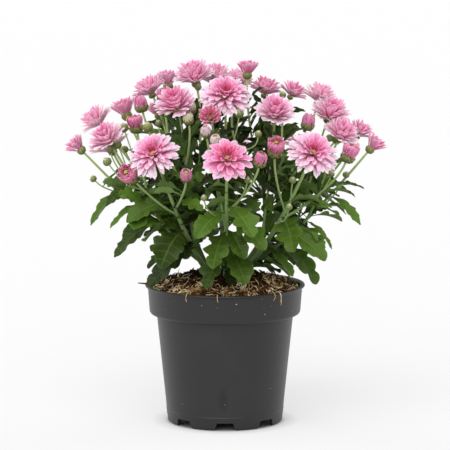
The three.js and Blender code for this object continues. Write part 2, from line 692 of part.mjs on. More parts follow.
function stalkSolid(stem, head, { curve, centres }) {
  const { cup, stalkSides } = HEAD_KINDS[head.kind];
  const tipRadius = head.kind === 'green' ? STALK.budRadius : STALK.tipRadius;
  const grown = tipRadius + STALK.perHead * (headsCarried(stem, head) - 1);
  const startRadius = head.on ? Math.min(grown, STALK.branchRadius) : STALK.footRadius;
  const rings = [];
  if (!head.on) rings.push({ centre: stemFoot(stem), along: UP, radius: startRadius });
  centres.forEach((centre, k) => {
    const share = k / (centres.length - 1);
    const radius = THREE.MathUtils.lerp(startRadius, tipRadius, share);
    const along = share === 0 && !head.on ? UP : curve.getTangent(share);
    rings.push({ centre, along, radius });
  });
  const axis = leaning(head.lean);
  const seat = headSeat(head);
  const headRadius = head.size / 2;
  for (const [radius, height] of cup) {
    const centre = seat.clone().addScaledVector(axis, height * headRadius);
    rings.push({ centre, along: axis, radius: radius * headRadius });
  }
  const bearing = THREE.MathUtils.lerp(...stem.wedge, 0.5) * DEGREE;
  const side = new THREE.Vector3(-Math.sin(bearing), Math.cos(bearing), 0);
  return tubeSolid(rings, side, stalkSides);
}

// ---------------------------------------------------------------- leaves

// A leaf's midrib: an arch from the stalk to the tip, higher in the middle.
function leafCurve(start, tip) {
  const middle = start.clone().lerp(tip, 0.5);
  middle.z += 2 * LEAF.arch * start.distanceTo(tip);
  return new THREE.QuadraticBezierCurve3(start, middle, tip);
}

// The points of a blade in its middle plane: the midrib, then the two edges, then the tip.
function leafPoints(start, tip, form, wide, roll) {
  const curve = leafCurve(start, tip);
  const length = start.distanceTo(tip);
  const level = new THREE.Vector3().subVectors(tip, start).cross(UP).normalize();
  const frameAt = (share) => {
    const along = curve.getTangent(share);
    const side = level.clone().applyAxisAngle(along, roll * DEGREE);
    const face = new THREE.Vector3().crossVectors(side, along).normalize();
    return { centre: curve.getPoint(share), side, face };
  };
  const points = [];
  const add = (share, out) => {
    const { centre, side, face } = frameAt(share);
    const place = centre.clone()
      .addScaledVector(side, out * length * wide)
      .addScaledVector(face, Math.abs(out) * length * wide * LEAF.fold);
    points.push({ place, face });
  };
  form.midrib.forEach((share) => add(share, 0));
  add(0, 0);
  form.outline.forEach(([share, out]) => add(share, -out));
  form.outline.forEach(([share, out]) => add(share, out));
  add(1, 0);
  return points;
}

// Faces of a blade, seen from above. Each edge walks out from the root beside the midrib.
function leafFaces(form) {
  const ribs = form.midrib.length;
  const count = form.outline.length;
  const root = ribs;
  const edges = [0, 1].map((side) => form.outline.map((_, k) => root + 1 + side * count + k));
  const tip = root + 1 + 2 * count;
  const faces = [];
  edges.forEach((edge, side) => {
    const push = (a, b, c) => faces.push(side ? [a, b, c] : [a, c, b]);
    let rib = 0;
    push(root, edge[0], rib);
    for (let k = 0; k + 1 < count; k++) {
      push(edge[k], edge[k + 1], rib);
      const halfway = (form.midrib[rib] + form.midrib[rib + 1]) / 2;
      if (form.outline[k + 1][0] < halfway || rib + 1 === ribs) continue;
      push(rib, edge[k + 1], rib + 1);
      rib += 1;
    }
    push(edge[count - 1], tip, rib);
  });
  const boundary = [root, ...edges[1], tip, ...edges[0].reverse()];
  return { faces, boundary };
}

// A blade's two faces lie half its thickness either side of its points and meet at root and tip.
function leafSolid(points, form) {
  const { faces, boundary } = leafFaces(form);
  const ends = new Set([form.midrib.length, points.length - 1]);
  const positions = [];
  const corners = [];
  for (const shift of [LEAF.thickness / 2, -LEAF.thickness / 2]) {
    const onFace = points.map(({ place, face }, k) => {
      if (ends.has(k) && corners.length) return corners[0][k];
      const point = place.clone().addScaledVector(face, ends.has(k) ? 0 : shift);
      positions.push(point.x, point.y, point.z);
      return positions.length / 3 - 1;
    });
    corners.push(onFace);
  }
  const [over, under] = corners;
  const triangles = [];
  for (const [a, b, c] of faces) {
    triangles.push(over[a], over[b], over[c], under[a], under[c], under[b]);
  }
  boundary.forEach((a, k) => {
    const b = boundary[(k + 1) % boundary.length];
    if (!ends.has(a)) triangles.push(over[a], under[a], under[b]);
    if (!ends.has(b)) triangles.push(over[a], under[b], over[b]);
  });
  return solidFrom(positions, triangles);
}

const allHeads = STEMS.flatMap((stem) => stem.heads);

// A leaf stays in its stem's wedge, off every head, and above the soil and the pot's rim.
function leafIsClear(probes, stem) {
  const [from, to] = stem.wedge.map((bearing) => bearing * DEGREE);
  return probes.every((place) => {
    const pastFrom = place.y * Math.cos(from) - place.x * Math.sin(from);
    const beforeTo = place.x * Math.sin(to) - place.y * Math.cos(to);
    if (Math.min(pastFrom, beforeTo) < LEAF.sideGap) return false;
    const radius = Math.hypot(place.x, place.y);
    const overPot = radius < POT.lipRadius + LEAF.rimGap;
    if (overPot && place.z < soilHeight(radius) + LEAF.soilGap) return false;
    return allHeads.every((head) => {
      const centre = new THREE.Vector3(...head.at);
      return centre.distanceTo(place) > head.size / 2 + LEAF.headGap;
    });
  });
}

// A blade's corners and the places half-way between each corner and the next.
function probes(points) {
  const corners = points.map(({ place }) => place);
  const between = corners.slice(1).map((place, k) => place.clone().lerp(corners[k], 0.5));
  return [...corners, ...between];
}

function leafForm(height) {
  if (height < LEAF.lobedBelow) return LOBED;
  return height < LEAF.cutBelow ? CUT : NARROW;
}

function nearest(point, places) {
  return places.reduce((least, place) => Math.min(least, place.distanceTo(point)), Infinity);
}

// Leaves that a rule sets round each stalk, shorter and steeper the higher they grow. Each one
// turns on by the golden angle until it is clear of its neighbours, or is left out.
function ruledLeaves(stem, stalks, placed) {
  const leaves = [];
  const allPlaces = [...stalks.values()].flatMap((stalk) => placesOn(stalk, LEAF.stalkGap));
  const taken = placed.flatMap(({ points }) => probes(points));
  let serial = 0;
  for (const head of stem.heads) {
    if (head.kind === 'green') continue;
    const stalk = stalks.get(head.id);
    const count = Math.floor(stalk.curve.getLength() / LEAF.spacing);
    for (let k = 1; k < count; k++) {
      const start = placeOn(stalk, k / count);
      const height = (start.z - LEAF.lowest) / (LEAF.highest - LEAF.lowest);
      serial += 1;
      if (height < 0 || height > 1) continue;
      const length = THREE.MathUtils.lerp(LEAF.lowLength, LEAF.highLength, height);
      const rise = THREE.MathUtils.lerp(LEAF.lowRise, LEAF.highRise, height) * DEGREE;
      const form = leafForm(start.z);
      const beyondPetiole = (place) => place.distanceTo(start) > length * LEAF.petiole;
      const others = allPlaces.filter(beyondPetiole);
      for (let attempt = 0; attempt < LEAF.tries; attempt++) {
        const turn = (serial + attempt) * GOLDEN_ANGLE;
        const out = new THREE.Vector3(Math.cos(turn), Math.sin(turn), 0);
        const tip = start.clone()
          .addScaledVector(out, length * Math.cos(rise))
          .addScaledVector(UP, length * Math.sin(rise));
        const points = leafPoints(start, tip, form, 1, LEAF.rollSway * sway(serial));
        const free = probes(points).filter(beyondPetiole);
        const crowded = free.some((place) => nearest(place, others) < LEAF.stalkGap
          || nearest(place, taken) < LEAF.leafGap);
        if (crowded || !leafIsClear(free, stem)) continue;
        leaves.push({ points, form });
        taken.push(...free);
        break;
      }
    }
  }
  return leaves;
}

// The first place up a stalk that lies within a leaf's length of the leaf's tip.
function leafRoot(stalk, tip, long) {
  const places = placesOn(stalk, ROOT_STEP);
  const near = places.find((place) => place.distanceTo(tip) <= long);
  const closer = (best, place) => (place.distanceTo(tip) < best.distanceTo(tip) ? place : best);
  return near ?? places.reduce(closer);
}

function placedLeaves(stem, stalks) {
  return stem.leaves.map(({ on, tip, long, wide, roll }) => {
    const end = new THREE.Vector3(...tip);
    const points = leafPoints(leafRoot(stalks.get(on), end, long), end, LOBED, wide, roll);
    return { points, form: LOBED };
  });
}

function makeStem(stem) {
  const stalks = makeStalks(stem);
  const tubes = stem.heads.map((head) => stalkSolid(stem, head, stalks.get(head.id)));
  const placed = placedLeaves(stem, stalks);
  const leaves = [...placed, ...ruledLeaves(stem, stalks, placed)];
  const blades = leaves.map(({ points, form }) => leafSolid(points, form));
  const joined = wasm.Manifold.union([...tubes, ...blades]);
  return meshOf(stem.name, joined, finish(FINISHES.foliage));
}

// ---------------------------------------------------------------- the whole plant

const plant = new THREE.Group();
plant.add(makePot());
plant.add(makeSoil());
for (const stem of STEMS) plant.add(makeStem(stem));
const withPetals = allHeads.filter((head) => head.kind !== 'green');
withPetals.forEach((head, k) => plant.add(makeHead(head, k * SWAY_STEP)));

export default plant;
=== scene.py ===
# %% [markdown]
# # A pot chrysanthemum
# A small florist's chrysanthemum, about 27 cm tall, in a 12 cm nursery pot. Six rooted cuttings
# stand in the soil, and each branches into stalks that end in a bloom or a bud. The CAD frame
# holds the true sizes and places. This lesson dresses it: petals in their layers, lobed leaves
# with veins, scaly calyxes, fibrous peat and a moulded pot. Almost every shape is worked out as
# arrays of points, because a plant is many copies of a few forms that each differ a little.

import json
import math
from collections import namedtuple

import bmesh
import bpy
import numpy as np
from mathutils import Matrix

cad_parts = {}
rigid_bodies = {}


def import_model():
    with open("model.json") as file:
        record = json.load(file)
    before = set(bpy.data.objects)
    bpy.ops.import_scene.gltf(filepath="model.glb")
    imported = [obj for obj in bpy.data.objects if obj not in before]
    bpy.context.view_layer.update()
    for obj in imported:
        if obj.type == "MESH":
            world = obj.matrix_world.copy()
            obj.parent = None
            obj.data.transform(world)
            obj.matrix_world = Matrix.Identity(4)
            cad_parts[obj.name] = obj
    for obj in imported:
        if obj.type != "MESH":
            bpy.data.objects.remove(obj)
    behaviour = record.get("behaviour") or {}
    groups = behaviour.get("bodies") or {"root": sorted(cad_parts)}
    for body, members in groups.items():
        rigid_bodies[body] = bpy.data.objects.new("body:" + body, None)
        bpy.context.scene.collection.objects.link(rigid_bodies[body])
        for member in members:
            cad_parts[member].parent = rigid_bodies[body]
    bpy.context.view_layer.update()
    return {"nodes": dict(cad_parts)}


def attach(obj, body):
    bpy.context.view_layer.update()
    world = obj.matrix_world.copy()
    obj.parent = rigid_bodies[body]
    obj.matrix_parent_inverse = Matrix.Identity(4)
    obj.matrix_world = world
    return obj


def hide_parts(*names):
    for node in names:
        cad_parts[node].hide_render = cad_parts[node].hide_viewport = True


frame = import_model()
MM = 0.001
UP = np.array([0.0, 0.0, 1.0])
FULL_TURN = 2 * math.pi
GOLDEN_ANGLE = math.radians(137.5)
print("nodes in the frame:", len(frame["nodes"]))

# %% [markdown]
# ## A way to collect shapes
# Blender can make a mesh from lists, one face at a time, but a bloom has thousands of faces, and
# whole arrays are far quicker. A Shape collects blocks of points and faces in millimetres, with
# the material of each block and named values for each point, such as how far along its petal a
# point lies. The materials read those values later, so a colour can run from root to tip. Faces
# that meet at more than a set angle keep a crisp edge, and all others are shaded as one skin.

# %% Shapes
SHARP_EDGE = math.radians(62)


class Shape:
    def __init__(self):
        self.points = []
        self.faces = []
        self.finishes = []
        self.values = []
        self.count = 0

    def add(self, points, face_blocks, finish, **values):
        """Adds points, and blocks of faces whose finish is one number, or one for each block."""
        points = np.asarray(points, float).reshape(-1, 3)
        finishes = finish if isinstance(finish, (list, tuple)) else [finish] * len(face_blocks)
        for faces, number in zip(face_blocks, finishes):
            self.faces.append(np.asarray(faces, int) + self.count)
            self.finishes.append(np.full(len(faces), number))
        self.points.append(points)
        self.values.append({name: np.broadcast_to(value, len(points)) for name, value in values.items()})
        self.count += len(points)

    def mesh(self, name):
        """One Blender mesh of all the blocks, with each named value as an attribute."""
        mesh = bpy.data.meshes.new(name)
        sizes = np.concatenate([np.full(len(faces), faces.shape[1]) for faces in self.faces])
        corners = np.concatenate([faces.ravel() for faces in self.faces])
        mesh.vertices.add(self.count)
        mesh.vertices.foreach_set("co", (np.concatenate(self.points) * MM).ravel())
        mesh.loops.add(len(corners))
        mesh.loops.foreach_set("vertex_index", corners)
        mesh.polygons.add(len(sizes))
        mesh.polygons.foreach_set("loop_start", np.concatenate([[0], np.cumsum(sizes)[:-1]]))
        mesh.polygons.foreach_set("material_index", np.concatenate(self.finishes))
        mesh.polygons.foreach_set("use_smooth", np.ones(len(sizes), bool))
        for key in sorted({key for values in self.values for key in values}):
            blocks = [v.get(key, np.zeros(len(p))) for v, p in zip(self.values, self.points)]
            attribute = mesh.attributes.new(key, "FLOAT", "POINT")
            attribute.data.foreach_set("value", np.concatenate(blocks).astype(np.float32))
        mesh.update(calc_edges=True)
        mesh.validate()
        mesh.set_sharp_from_angle(angle=SHARP_EDGE)
        return mesh

    def piece(self, name, materials, slot, *nodes):
        """Makes one Blender object that rides on the root body and stands for the CAD nodes."""
        made = bpy.data.objects.new(name, self.mesh(name))
        for material in materials:
            made.data.materials.append(material)
        bpy.context.scene.collection.objects.link(made)
        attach(made, "root")
        if nodes:
            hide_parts(*nodes)
        return made


def triangles_of(made):
    made.data.calc_loop_triangles()
    return len(made.data.loop_triangles)


print("edges stay crisp beyond", round(math.degrees(SHARP_EDGE)), "degrees")

# %% [markdown]
# ## Curves and frames
# Stalks, midribs and petals all follow Bezier curves: a few control points and a smooth line
# between them, which is how such curves are drawn by hand too. Blender has curve objects of this
# kind, but the plain formula gives the points and directions of hundreds of curves in one step.

# %% Curve helpers
TINY = 1e-9
NEARLY_ALONG = 0.8


def bezier(controls, shares):
    """Points at these shares of a Bezier curve. Arrays of controls give many curves at once."""
    order = len(controls) - 1
    return sum(
        math.comb(order, k) * (1 - shares) ** (order - k) * shares**k * point
        for k, point in enumerate(controls)
    )


def unit(vectors):
    return vectors / np.maximum(np.linalg.norm(vectors, axis=-1, keepdims=True), TINY)


def bezier_direction(controls, shares):
    """Unit vectors along the curve at these shares."""
    steps = [after - before for before, after in zip(controls, controls[1:])]
    return unit(bezier(steps, shares))


def around(bearing):
    """The level unit vectors that point to a bearing in radians, and square to it on its left."""
    east, north = math.cos(bearing), math.sin(bearing)
    return np.array([east, north, 0]), np.array([-north, east, 0])


def leaning(bearing, tilt):
    """The unit vector that leans from upright toward a bearing, both in degrees."""
    out = math.sin(math.radians(tilt))
    turn = math.radians(bearing)
    return np.array([out * math.cos(turn), out * math.sin(turn), math.cos(math.radians(tilt))])


def frame_on(axis):
    """Two unit vectors square to an axis and to each other."""
    guide = np.array([1.0, 0.0, 0.0]) if abs(axis[0]) < NEARLY_ALONG else np.array([0.0, 1.0, 0.0])
    first = unit(np.cross(guide, axis))
    return first, np.cross(axis, first)


print("an axis that leans 30 degrees to the right:", leaning(0, 30).round(3))

# %% [markdown]
# ## Thin shells and tubes
# A petal or a leaf is a thin shell: a grid of points, moved half its thickness to either side,
# with both faces meeting at the rim. That gives a closed body with a real thickness that light
# can fall through. Blender's Solidify modifier does much the same, but a closed grid needs no
# modifier, and its two faces can take two materials. Stalks, cups, fibres and the pot are tubes:
# rings of points joined by four-cornered faces, with a cap at each end.

# %% Shells and tubes
def grid_quads(index):
    """Four-cornered faces between neighbours in an array of point numbers, blades first."""
    a, b = index[:, :-1, :-1], index[:, 1:, :-1]
    c, d = index[:, 1:, 1:], index[:, :-1, 1:]
    return np.stack([a, b, c, d], -1).reshape(-1, 4)


def shell(grid, thickness):
    """A closed thin body for each blade of a grid [blade, along, across, xyz]. Returns its points,
    its upper and lower faces, and a function that spreads values of the grid over the points."""
    along = np.gradient(grid, axis=1)
    across = np.gradient(grid, axis=2)
    normal = unit(np.cross(along, across))
    upper = grid + normal * thickness / 2
    lower = (grid - normal * thickness / 2)[:, 1:-1, 1:-1]
    upper[:, [0, -1]] = grid[:, [0, -1]]
    upper[:, :, [0, -1]] = grid[:, :, [0, -1]]
    front = np.arange(grid[..., 0].size).reshape(grid.shape[:3])
    back = front.copy()
    back[:, 1:-1, 1:-1] = front.size + np.arange(lower[..., 0].size).reshape(lower.shape[:3])
    points = np.concatenate([upper.reshape(-1, 3), lower.reshape(-1, 3)])

    def spread(values):
        values = np.broadcast_to(values, grid.shape[:3])
        return np.concatenate([values.ravel(), values[:, 1:-1, 1:-1].ravel()])

    return points, [grid_quads(front), grid_quads(back)[:, ::-1]], spread


def tube(centres, along, radii, side, sides):
    """A closed tube: rings of points round the centres, faces between them, and a cap each end."""
    along = np.broadcast_to(along, centres.shape)
    across = unit(np.cross(along, side))
    other = np.cross(along, across)
    turn = np.arange(sides) / sides * FULL_TURN
    ring = np.cos(turn)[None, :, None] * across[:, None] + np.sin(turn)[None, :, None] * other[:, None]
    points = centres[:, None] + radii[:, None, None] * ring
    index = np.arange(len(centres) * sides).reshape(1, len(centres), sides)
    index = np.concatenate([index, index[:, :, :1]], 2)
    caps = [index[0, 0, :-1][None, ::-1], index[0, -1, :-1][None]]
    return points.reshape(-1, 3), [grid_quads(index)[:, ::-1], *caps]


print("faces between two rings of nine points:", len(grid_quads(np.arange(20).reshape(1, 2, 10))))

# %% [markdown]
# ## The plant's layout
# Nearly all the places are those of the CAD frame, in millimetres. A few heads are moved by a
# millimetre or more to where they look right, and seven more small green buds are added. A stem
# fills a wedge between two bearings. Its first head ends the main stalk, and each other stalk
# springs from the stalk of the head it names, at a share of its length. A head stands at a place,
# leans toward a bearing by so many degrees and is so many millimetres across. A leaf names the
# head whose stalk it grows on, then the place of its tip, the most that it may be long, how wide
# it is against the usual leaf, and its roll in degrees. Repeating these few numbers lets every
# petal, stalk and leaf land on the solid that it stands for.

# %% Layout
Head = namedtuple("Head", "name kind at lean size on share", defaults=(None, 0.0))
Leaf = namedtuple("Leaf", "on tip long wide roll")
Stem = namedtuple("Stem", "node bearing wedge heads leaves")

FOOT_RADIUS = 15.0
print("the stems stand", FOOT_RADIUS, "mm from the pot's axis")

# %% The front stem
FRONT = Stem("leafy_stem_front", -86, (-105, -66), [
    Head("A", "open", (1.8, -88, 210), (-88, 46), 36),
    Head("D", "open", (0.4, -35, 251), (-90, 35), 39, "A", 0.16),
    Head("a", "half", (-10.5, -55, 236), (-96, 58), 17, "D", 0.45),
    Head("e", "closed", (25.6, -82, 208), (-60, 22), 9.5, "A", 0.58),
    Head("j", "closed", (-7, -66, 220), (-95, 30), 8, "A", 0.42),
    Head("k", "closed", (-14, -62, 226), (-110, 25), 7.7, "D", 0.38),
    Head("n", "green", (10, -42, 234), (-80, 15), 7, "D", 0.62),
    Head("u", "green", (-15, -80, 178), (-105, 25), 4.5, "A", 0.5),
    Head("z", "green", (24, -62, 222), (-80, 15), 5, "D", 0.66),
    Head("dd", "green", (16, -75, 190), (-60, 20), 4.5, "A", 0.55),
], [
    Leaf("A", (20, -88, 152), 30, 1.2, 12),
    Leaf("A", (-21, -80, 150), 30, 0.95, -35),
    Leaf("A", (29, -77, 141), 32, 0.95, 30),
    Leaf("A", (14, -74, 134), 32, 0.95, 15),
    Leaf("A", (-9, -80, 128), 34, 1.05, -10),
    Leaf("A", (15, -66, 114), 34, 1.1, 10),
    Leaf("A", (-14, -63, 111), 32, 1, -5),
    Leaf("A", (5, -41, 107), 28, 0.9, 0),
    Leaf("D", (23, -56, 168), 34, 1.2, 0),
    Leaf("D", (-19, -56, 184), 32, 1.1, 0),
])
print(FRONT.node, "heads:", len(FRONT.heads), "placed leaves:", len(FRONT.leaves))

# %% The front left stem
FRONT_LEFT = Stem("leafy_stem_front_left", -142, (-178, -105), [
    Head("B", "open", (-52, -72, 211.5), (-106, 50), 37),
    Head("c", "opening", (-70, -69.5, 195.5), (-122, 55), 13, "B", 0.52),
    Head("d", "closed", (-28, -78, 196), (-90, 50), 9.3, "B", 0.56),
    Head("E", "open", (-37, -38, 246), (-116, 33), 32, "B", 0.2),
    Head("L", "open", (-88, -35, 220), (-148, 34), 29, "B", 0.14),
    Head("M", "half", (-111, -8, 210), (-176, 45), 17, "L", 0.42),
    Head("f", "opening", (-66.5, -18, 228), (-160, 12), 11.5, "L", 0.5),
    Head("l", "closed", (-27, -45, 234), (-115, 20), 8, "E", 0.6),
    Head("m", "closed", (-25, -30, 240), (-110, 10), 7.5, "E", 0.66),
    Head("o", "green", (-74, -20, 221), (-170, 20), 7.4, "f", 0.4),
    Head("p", "green", (-56, -35, 223), (-150, 12), 7.4, "E", 0.5),
    Head("q", "green", (-78, -30, 210), (-165, 25), 6, "L", 0.68),
    Head("s", "green", (-85, -40, 199), (-155, 35), 6.4, "L", 0.6),
    Head("r", "green", (-84, -35, 207), (-150, 15), 5, "L", 0.62),
    Head("bb", "green", (-49, -20, 225), (-120, 10), 5, "E", 0.45),
    Head("t", "green", (-96, -25, 185), (-170, 40), 5, "M", 0.4),
], [
    Leaf("M", (-100, -13, 150), 36, 0.8, -40),
    Leaf("L", (-85, -27, 150), 32, 0.8, -25),
    Leaf("L", (-82, -26, 128), 36, 0.95, -40),
    Leaf("B", (-47, -66, 126), 36, 1.15, -20),
    Leaf("B", (-56, -35, 107), 36, 0.95, -30),
    Leaf("L", (-48, -17, 117), 30, 0.75, -20),
    Leaf("L", (-88, -32, 167), 36, 1, -50),
    Leaf("B", (-72, -47, 157), 34, 0.95, -40),
    Leaf("B", (-16, -62, 168), 28, 0.8, 40),
])
print(FRONT_LEFT.node, "heads:", len(FRONT_LEFT.heads), "placed leaves:", len(FRONT_LEFT.leaves))

# %% The front right stem
FRONT_RIGHT = Stem("leafy_stem_front_right", -34, (-66, 3.5), [
    Head("C", "open", (64, -68, 212), (-74, 50), 37),
    Head("b", "opening", (37, -62, 215), (-80, 28), 12.4, "C", 0.54),
    Head("F", "open", (37, -40, 240), (-84, 30), 30, "C", 0.2),
    Head("U", "half", (112, 0, 210), (0, 40), 17, "C", 0.13),
    Head("S", "open", (79.5, 0, 235), (-45, 27), 31, "U", 0.3),
    Head("T", "open", (87, -22, 222), (-38, 30), 28, "U", 0.42),
    Head("i", "opening", (92, -34, 208), (-12, 22), 12, "C", 0.48),
    Head("h", "closed", (61.5, -22, 229), (0, 10), 10.5, "F", 0.34),
    Head("v", "green", (46, -72, 170), (-60, 20), 5, "C", 0.46),
    Head("y", "green", (77, -20, 214), (-20, 10), 5.6, "T", 0.55),
    Head("cc", "green", (49, -60, 188), (-60, 15), 5, "C", 0.62),
    Head("aa", "green", (89, -20, 187), (-20, 20), 5, "U", 0.5),
    Head("ab", "green", (78, -30, 189), (-30, 20), 4.5, "i", 0.5),
], [
    Leaf("C", (50, -72, 139), 31, 1.05, 25),
    Leaf("C", (50, -35, 115), 34, 0.85, 10),
    Leaf("U", (68, -22, 107), 36, 0.9, 30),
    Leaf("C", (74, -37, 127), 36, 0.95, 40),
    Leaf("U", (80, -6, 131), 32, 0.75, 30),
    Leaf("U", (101, -10, 150), 36, 0.85, 45),
    Leaf("i", (79, -32, 166), 30, 0.9, 40),
    Leaf("U", (104, -2, 176), 26, 0.7, 20),
])
print(FRONT_RIGHT.node, "heads:", len(FRONT_RIGHT.heads), "placed leaves:", len(FRONT_RIGHT.leaves))

# %% The back right stem
BACK_RIGHT = Stem("leafy_stem_back_right", 34, (3.5, 66), [
    Head("R", "open", (72, 28, 245), (30, 18), 27),
    Head("Q", "open", (52, 22, 248), (12, 30), 22, "R", 0.45),
    Head("P", "open", (31, 32, 250), (40, 12), 26, "R", 0.25),
    Head("CN", "open", (7, 4, 241), (20, 10), 26, "P", 0.28),
    Head("N", "half", (17, 20, 265), (45, 4), 17, "P", 0.3),
    Head("T2", "open", (102, 14, 219), (12, 28), 22, "R", 0.3),
    Head("BK2", "open", (62, 80, 197), (52, 52), 34, "R", 0.2),
    Head("BK6", "open", (90, 45, 214), (27, 45), 32, "R", 0.35),
    Head("BH2", "half", (44, 62, 228), (55, 25), 17, "P", 0.35),
    Head("w", "green", (43, 14, 243), (-30, 10), 5, "P", 0.65),
    Head("BG2", "green", (62, 52, 212), (40, 20), 6.5, "R", 0.5),
], [
    Leaf("R", (72, 40, 128), 36, 1, 15),
    Leaf("R", (56, 40, 110), 36, 1, 0),
    Leaf("R", (92, 32, 152), 36, 0.95, 10),
    Leaf("BK2", (48, 72, 132), 36, 1.1, -10),
    Leaf("BK2", (74, 72, 156), 36, 1, 10),
    Leaf("T2", (98, 12, 168), 36, 0.9, 0),
    Leaf("CN", (20, 24, 168), 34, 1.0, 0),
    Leaf("CN", (20, 24, 194), 32, 1.0, 0),
    Leaf("CN", (34, 8, 142), 32, 1.1, -10),
    Leaf("CN", (34, 9, 162), 32, 1.1, 0),
    Leaf("CN", (30, 8, 186), 30, 1.1, 20),
])
print(BACK_RIGHT.node, "heads:", len(BACK_RIGHT.heads), "placed leaves:", len(BACK_RIGHT.leaves))

# %% The back stem
BACK = Stem("leafy_stem_back", 89, (66, 112), [
    Head("BK4", "open", (-8, 72, 233), (96, 32), 34),
    Head("BK3", "open", (4, 89, 200), (88, 50), 36, "BK4", 0.3),
    Head("O", "open", (10, 62, 253), (80, 18), 26, "BK4", 0.35),
    Head("G2", "open", (-8, 42, 258), (70, 14), 30, "BK4", 0.2),
    Head("BG3", "green", (-20, 88, 208), (105, 30), 6, "BK3", 0.5),
], [
    Leaf("BK4", (8, 66, 112), 36, 1.1, 10),
    Leaf("BK4", (-16, 76, 126), 36, 1.05, -10),
    Leaf("BK4", (24, 78, 142), 34, 1, 10),
    Leaf("BK3", (-14, 94, 154), 36, 0.95, -15),
    Leaf("BK3", (16, 96, 168), 36, 0.9, 15),
    Leaf("BK4", (-13, 58, 160), 34, 1.0, 0),
    Leaf("BK4", (-10, 64, 146), 30, 1.2, 10),
    Leaf("BK4", (-13, 58, 180), 34, 1.0, 0),
    Leaf("BK4", (14, 60, 188), 34, 1.0, 0),
    Leaf("BK4", (-10, 60, 202), 32, 0.9, 0),
    Leaf("BK4", (12, 58, 212), 30, 0.9, 0),
])
print(BACK.node, "heads:", len(BACK.heads), "placed leaves:", len(BACK.leaves))

# %% The back left stem
BACK_LEFT = Stem("leafy_stem_back_left", 147, (112, 182), [
    Head("H", "open", (-58, 20, 251), (162, 28), 27),
    Head("G", "open", (-23.5, 15, 262), (-150, 14), 32, "H", 0.2),
    Head("K", "half", (-76, 20, 235), (172, 20), 20, "H", 0.42),
    Head("J", "open", (-97.5, 5, 229), (176, 42), 28, "H", 0.26),
    Head("I", "half", (-44, 48, 254), (130, 12), 19, "H", 0.34),
    Head("BK1", "open", (-52, 82, 200), (122, 50), 35, "H", 0.18),
    Head("BK5", "open", (-89, 36, 207.5), (158, 28), 32, "H", 0.22),
    Head("BH1", "half", (-52, 58, 230), (130, 28), 17, "I", 0.4),
    Head("g", "closed", (-63, 1, 240), (180, 14), 10.5, "H", 0.5),
    Head("V", "closed", (-47, 6, 246), (190, 10), 9, "H", 0.62),
    Head("BG5", "green", (-76, 62, 196), (140, 35), 6, "BK5", 0.4),
    Head("x", "green", (-20, 10, 249), (-100, 10), 5, "G", 0.7),
], [
    Leaf("H", (-58, 34, 110), 36, 1, 0),
    Leaf("BK5", (-78, 32, 130), 36, 1, 0),
    Leaf("BK5", (-96, 20, 152), 36, 0.9, 10),
    Leaf("BK1", (-46, 70, 128), 36, 1.1, 10),
    Leaf("BK1", (-66, 76, 154), 36, 1, -10),
    Leaf("J", (-92, 6, 176), 36, 0.85, 10),
    Leaf("G", (-19, 30, 152), 32, 1.0, 0),
    Leaf("G", (-19, 28, 174), 34, 1.0, 0),
    Leaf("G", (-19, 27, 197), 32, 0.9, 0),
    Leaf("G", (-42, 6, 142), 32, 1.1, 0),
    Leaf("G", (-44, 7, 162), 32, 1.1, 0),
    Leaf("G", (-46, 8, 184), 30, 1.1, 20),
])
print(BACK_LEFT.node, "heads:", len(BACK_LEFT.heads), "placed leaves:", len(BACK_LEFT.leaves))

# %% All the stems
STEMS = [FRONT, FRONT_LEFT, FRONT_RIGHT, BACK_RIGHT, BACK, BACK_LEFT]
ALL_HEADS = [head for stem in STEMS for head in stem.heads]
print("stems:", len(STEMS), "heads:", len(ALL_HEADS))

# %% [markdown]
# ## The camera
# A long lens from a little above the pot's rim, as for a catalogue picture, keeps the pot's sides
# nearly parallel. The place and the pitch are set first, because everything after them is judged
# in that view. The Standard view keeps the colours of the materials as they are chosen.

# %% Camera
FOCAL_LENGTH = 237.2
SENSOR_WIDTH = 36.0
CAMERA_PLACE = (0.0, -2.2, 0.464)
CAMERA_PITCH = 8.16
camera_data = bpy.data.cameras.new("camera")
camera_data.lens = FOCAL_LENGTH
camera_data.sensor_width = SENSOR_WIDTH
camera = bpy.data.objects.new("camera", camera_data)
camera.location = CAMERA_PLACE
camera.rotation_euler = (math.radians(90 - CAMERA_PITCH), 0.0, 0.0)
bpy.context.scene.collection.objects.link(camera)
bpy.context.scene.camera = camera
bpy.context.scene.view_settings.view_transform = "Standard"
print("camera at", CAMERA_PLACE, "looking down", CAMERA_PITCH, "degrees")

# %% [markdown]
# ## Colours and nodes
# A material in Blender is a small graph: nodes work out a colour or a height, and links carry it
# to the main shader. Colours are easy to choose as sRGB hex values, as in any paint program, but
# the sockets hold linear light, so one function converts them. Another adds a node with its
# settings and links in one call, so a graph reads from top to bottom like a recipe.

# %% Colours and nodes
def linear(colour):
    """An sRGB hex colour as the linear values that Blender's sockets hold."""
    channels = [int(colour[k : k + 2], 16) / 255 for k in (1, 3, 5)]
    return [c / 12.92 if c <= 0.04045 else ((c + 0.055) / 1.055) ** 2.4 for c in channels] + [1.0]


def node(material, kind, inputs=None, stops=None, **settings):
    """Adds a shader node with its settings, its inputs (values or other nodes' outputs) and, on a
    colour ramp, its stops, each (place, colour)."""
    made = material.node_tree.nodes.new("ShaderNode" + kind)
    for name, value in settings.items():
        setattr(made, name, value)
    for socket, value in (inputs or {}).items():
        if isinstance(value, bpy.types.NodeSocket):
            material.node_tree.links.new(value, made.inputs[socket])
        else:
            made.inputs[socket].default_value = value
    if stops:
        ramp = made.color_ramp
        while len(ramp.elements) < len(stops):
            ramp.elements.new(1.0)
        for element, (place, colour) in zip(ramp.elements, stops):
            element.position = place
            element.color = linear(colour)
    return made


